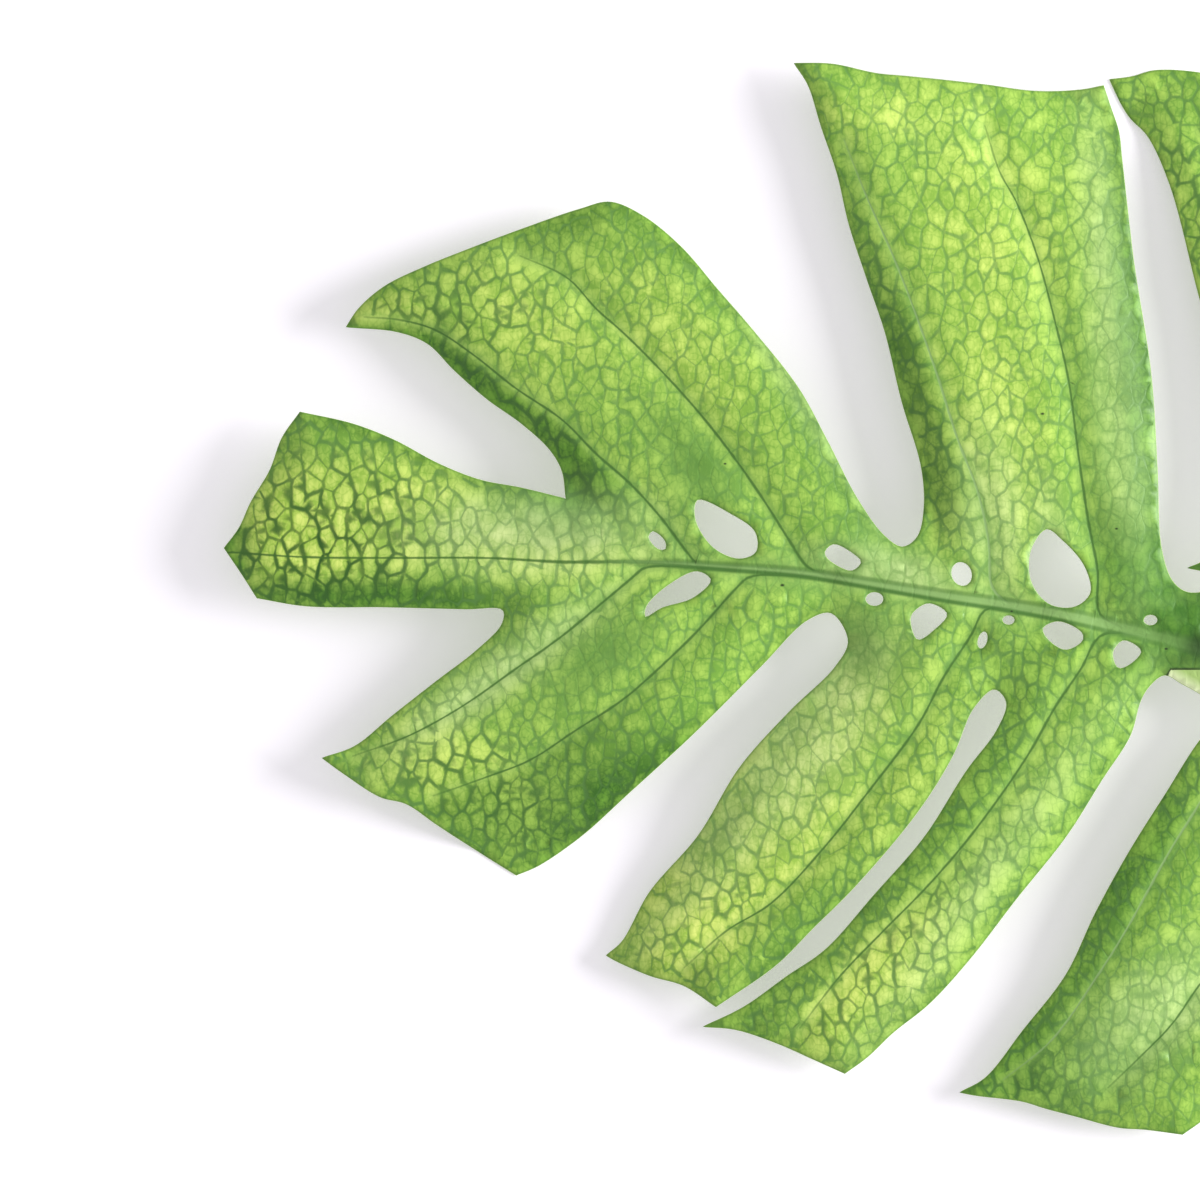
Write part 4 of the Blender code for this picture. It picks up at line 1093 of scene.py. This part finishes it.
        spot = add_node(tree, "MapRange", {0: away, 1: 0.5 * half_width * MM, 2: 1.3 * half_width * MM,
                                           3: 1.0, 4: 0.0})
        layers.append((spot, 0.9, linear("#16230e")))
    ridge = add_node(tree, "Math", {0: lines["net"], 1: lines["side"]}, operation="MAXIMUM")
    relief = added_up(tree, 0.7, [(grain, 0.5, 0.5), (streak, 0.5, 0.4), (ridge, 0.0, -0.7)])
    bump = add_node(tree, "Bump", {"Strength": 0.35, "Distance": 0.15 * MM, "Height": relief})
    set_inputs(tree, shader, {"Base Color": laid_over(tree, veined, layers), "Normal": bump,
                              "Roughness": ramp["sheen"], "IOR": 1.42})
    return material


def under_material():
    """Leaf underside: a thin cuticle over airy tissue, so paler and matt, its raised veins paler yet."""
    material, tree, shader, where = new_material("leaf underside")
    at, lines = vein_lines(tree, where)
    blotch = add_node(tree, "TexNoise", {"Vector": where, "Scale": 1 / (18 * MM), "Detail": 3.0})
    grain = add_node(tree, "TexNoise", {"Vector": where, "Scale": 1 / (1.2 * MM), "Detail": 2.0})
    inside = add_node(tree, "MapRange", {0: at["net_distance"], 1: 0.3, 2: 1.8})
    tone = added_up(tree, 0.5, [(inside, 0.5, 0.45), (blotch, 0.5, 0.6), (grain, 0.5, 0.4)])
    flesh = add_node(tree, "Mix", {0: tone, 6: linear("#86a168"), 7: linear("#b3c894")}, 2,
                     data_type="RGBA")
    pale = linear("#c8da9c")
    layers = [(lines["net"], 0.6, pale), (lines["side"], 0.85, pale), (lines["rib"], 0.85, pale)]
    relief = added_up(tree, 0.3, [(grain, 0.5, 0.4), (lines["net"], 0.0, 0.6)])
    bump = add_node(tree, "Bump", {"Strength": 0.5, "Distance": 0.18 * MM, "Height": relief})
    set_inputs(tree, shader, {"Base Color": laid_over(tree, flesh, layers), "Normal": bump,
                              "Roughness": 0.62, "IOR": 1.4})
    return material


def rim_material():
    """Leaf margin: a clear cartilage edge, coloured lighter than the blade as a painted highlight of the
    light it catches.
    """
    material, tree, shader, where = new_material("leaf margin")
    blotch = add_node(tree, "TexNoise", {"Vector": where, "Scale": 1 / (6 * MM), "Detail": 2.0})
    colour = laid_over(tree, linear("#6d9a3a"), [(blotch, 1.0, linear("#b9d970"))])
    set_inputs(tree, shader, {"Base Color": colour, "Roughness": 0.4, "IOR": 1.42})
    return material


for material in (upper_material(), under_material(), rim_material()):
    blade_mesh.materials.append(material)
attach(blade, "root")


# The stalk.  A fleshy round petiole, cut across, lies on the table and thickens into a knee where
# it meets the blade; its end runs on into the midrib.
import bmesh

PETIOLE_AXIS = [(140, -9.5, 11.0), (156, -13.4, 9.7), (171, -16.2, 8.6), (184, -18.2, 7.3),
                (198, -20.2, 5.1), (211, -22.3, 3.1), (224, -24.6, 2.15), (238, -27.4, 2.15),
                (252, -30.6, 2.15)]
PETIOLE_RADIUS = 2.3
KNEE_RADIUS = 2.9
PETIOLE_RADII = [1.5, 2.2, KNEE_RADIUS, KNEE_RADIUS] + [PETIOLE_RADIUS] * 5
AROUND = 48
RADIUS_SPAN = 13                        # points over which a change of radius is evened out
GROOVE_DEPTH, GROOVE_ANGLE = 0.35, 0.35
RIDGE_HEIGHT, RIDGE_COUNT = 0.025, 16
# Fine wrinkles across the knee: the middle and reach in X, their height and how close they are
KNEE_MIDDLE, KNEE_REACH, WRINKLE_HEIGHT, WRINKLE_TURNS = 177, 9, 0.05, 4.2


def stalk_parts():
    """A circle of changing radius carried along the axis, with a shallow groove on top, fine ridges
    along it, a cap of rings at each end, and the underside flat where it lies on the table."""
    axis = even_steps(smooth_curve(PETIOLE_AXIS, 0.25), 0.8)
    way = np.gradient(axis, axis=0)
    way /= np.linalg.norm(way, axis=1)[:, None]
    side = np.cross(way, (0, 0, 1.0))
    side /= np.linalg.norm(side, axis=1)[:, None]
    up = np.cross(side, way)
    knots = np.array(PETIOLE_AXIS)[:, 0]
    radius = np.interp(axis[:, 0], knots, PETIOLE_RADII)
    radius = np.convolve(np.pad(radius, RADIUS_SPAN // 2, mode="edge"),
                         np.ones(RADIUS_SPAN) / RADIUS_SPAN, mode="valid")
    wrinkle = np.where(np.abs(axis[:, 0] - KNEE_MIDDLE) < KNEE_REACH,
                       WRINKLE_HEIGHT * np.sin(axis[:, 0] * WRINKLE_TURNS), 0.0)
    angle = np.linspace(0, 2 * np.pi, AROUND + 1)[:-1]
    groove = GROOVE_DEPTH * np.exp(-((angle - np.pi / 2) / GROOVE_ANGLE) ** 2)
    ridges = RIDGE_HEIGHT * np.sin(angle * RIDGE_COUNT)
    reach = (radius + wrinkle)[:, None] - groove + ridges
    outwards = side[:, None] * np.cos(angle)[:, None] + up[:, None] * np.sin(angle)[:, None]
    tube = axis[:, None] + outwards * reach[..., None]
    start_rings = [axis[0] + (tube[0] - axis[0]) * share for share in (0.0, 0.5)]
    end_rings = [axis[-1] + (tube[-1] - axis[-1]) * share - way[-1] * dip
                 for share, dip in ((0.93, -0.08), (0.6, 0.0), (0.3, 0.1), (0.0, 0.12))]
    rings = np.stack(start_rings + list(tube) + end_rings)
    rings[..., 2] = np.maximum(rings[..., 2], 0)
    count = len(rings)
    row, column = np.meshgrid(np.arange(count - 1), np.arange(AROUND), indexing="ij")
    after = (column + 1) % AROUND
    quads = np.stack([row * AROUND + column, row * AROUND + after, (row + 1) * AROUND + after,
                      (row + 1) * AROUND + column], axis=-1).reshape(-1, 4)[:, ::-1]
    slots = (quads.min(1) // AROUND >= len(start_rings) + len(tube) - 1).astype(int)
    return rings.reshape(-1, 3), quads, slots


def weld(item, distance):
    """Merges the points that lie on one spot, such as a cap's centre, and turns all faces outwards."""
    work = bmesh.new()
    work.from_mesh(item.data)
    bmesh.ops.remove_doubles(work, verts=work.verts, dist=distance)
    bmesh.ops.recalc_face_normals(work, faces=work.faces)
    work.to_mesh(item.data)
    work.free()


# Painted shade on the stalk: full where it comes out of the hollow, and gone where it is wholly clear of it
STALK_SHADED, STALK_CLEAR = np.array([145.0, 0.0, 0.0]), np.array([163.0, 0.0, 0.0])


def stalk_material():
    """Petiole skin: smooth and fleshy, with fine paler flecks drawn out along it, and painted shade
    darkening it where it runs in under the blade.
    """
    material, tree, shader, where = new_material("petiole skin")
    along = add_node(tree, "Mapping", {0: where, 3: (0.12, 1.0, 1.0)})
    flecks = add_node(tree, "TexNoise", {"Vector": along, "Scale": 1 / (0.7 * MM), "Detail": 3.0})
    blotch = add_node(tree, "TexNoise", {"Vector": where, "Scale": 1 / (14 * MM), "Detail": 2.0})
    tone = added_up(tree, 0.5, [(flecks, 0.5, 1.6), (blotch, 0.5, 1.0)])
    lengthwise = add_node(tree, "SeparateXYZ", {0: where})
    start, end = to_frame(STALK_SHADED)[0], to_frame(STALK_CLEAR)[0]
    # Painted shade darkening the stalk towards the blade
    painted_shade = add_node(tree, "MapRange", {0: lengthwise, 1: start, 2: end, 3: 1.0, 4: 0.0},
                      interpolation_type="SMOOTHSTEP")
    colour = laid_over(tree, linear("#5c8a33"), [(tone, 1.0, linear("#93b95c")),
                                                 (painted_shade, 0.9, linear("#2a5014"))])
    bump = add_node(tree, "Bump", {"Strength": 0.3, "Distance": 0.15 * MM, "Height": flecks})
    set_inputs(tree, shader, {"Base Color": colour, "Normal": bump, "Roughness": 0.42, "IOR": 1.42})
    return material


def cut_material():
    """Cut petiole: wet pale pith with darker dots, the ends of the sap bundles, 0.5 mm apart."""
    material, tree, shader, where = new_material("cut petiole pith")
    dots = add_node(tree, "TexVoronoi", {"Vector": where, "Scale": 1 / (0.55 * MM)}, "Distance")
    share = add_node(tree, "MapRange", {0: dots, 1: 0.0, 2: 0.38, 3: 1.0, 4: 0.0})
    colour = laid_over(tree, linear("#b4c684"), [(share, 1.0, linear("#78924c"))])
    set_inputs(tree, shader, {"Base Color": colour, "Roughness": 0.3, "IOR": 1.36})
    return material


stalk_vertices, stalk_quads, stalk_slots = stalk_parts()
stalk_mesh = bpy.data.meshes.new("leaf_stalk")
fill_mesh(stalk_mesh, to_frame(stalk_vertices), np.zeros((0, 3), int), stalk_quads, stalk_slots)
stalk = put_in_scene("leaf_stalk", stalk_mesh)
weld(stalk, 0.01 * MM)
for material in (stalk_material(), cut_material()):
    stalk_mesh.materials.append(material)
stalk_mesh.shade_smooth()
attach(stalk, "root")
for piece in (blade, stalk):
    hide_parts("leaf")


# The table, the light and the camera.  A plain white surface, one large soft light from the upper
# right and even light all round; the camera looks straight down from far off.
VIEW_CENTRE = to_frame(np.array([0.0, 0.0, 0.0]))
VIEW_WIDTH = 300 * MM
CAMERA_HEIGHT = 3.4
LIGHT_WAY = Vector((1.0, 0.08, 0.38)).normalized()
LIGHT_DISTANCE = 1.6
LIGHT_SIZE = 1.0
LIGHT_POWER = 36.0
SKY_STRENGTH = 0.63
TABLE_REACH = 8.0
TABLE_DROP = 0.0002                     # keeps the table just clear of the leaf's lowest points

floor_mesh = bpy.data.meshes.new("table")
corners = [(x * TABLE_REACH, y * TABLE_REACH, 0) for x, y in ((-1, -1), (1, -1), (1, 1), (-1, 1))]
floor_mesh.from_pydata(corners, [], [(0, 1, 2, 3)])
floor = put_in_scene("table", floor_mesh)
floor.location.z = -TABLE_DROP
material, tree, shader, _ = new_material("white card")
set_inputs(tree, shader, {"Base Color": linear("#f4eff8"), "Roughness": 0.9, "Specular IOR Level": 0.1,
                          "Emission Color": linear("#ffffff"), "Emission Strength": 0.25})
floor_mesh.materials.append(material)

lamp = bpy.data.lights.new("soft light", "AREA")
lamp.shape = "DISK"
lamp.size = LIGHT_SIZE
lamp.energy = LIGHT_POWER
lamp_object = put_in_scene("soft light", lamp)
lamp_object.location = Vector(VIEW_CENTRE) + LIGHT_WAY * LIGHT_DISTANCE
lamp_object.rotation_euler = LIGHT_WAY.to_track_quat("Z", "Y").to_euler()

world = bpy.data.worlds.new("even light")
world.use_nodes = True
set_inputs(world.node_tree, world.node_tree.nodes["Background"],
           {"Color": linear("#ffffff"), "Strength": SKY_STRENGTH})
bpy.context.scene.world = world

camera_data = bpy.data.cameras.new("camera")
camera_data.sensor_width = 36.0
camera_data.lens = camera_data.sensor_width * (CAMERA_HEIGHT - 10 * MM) / VIEW_WIDTH
camera_data.clip_end = 20.0
camera = put_in_scene("camera", camera_data)
camera.location = Vector(VIEW_CENTRE) + Vector((0, 0, CAMERA_HEIGHT))
bpy.context.scene.camera = camera
bpy.context.scene.view_settings.view_transform = "Standard"
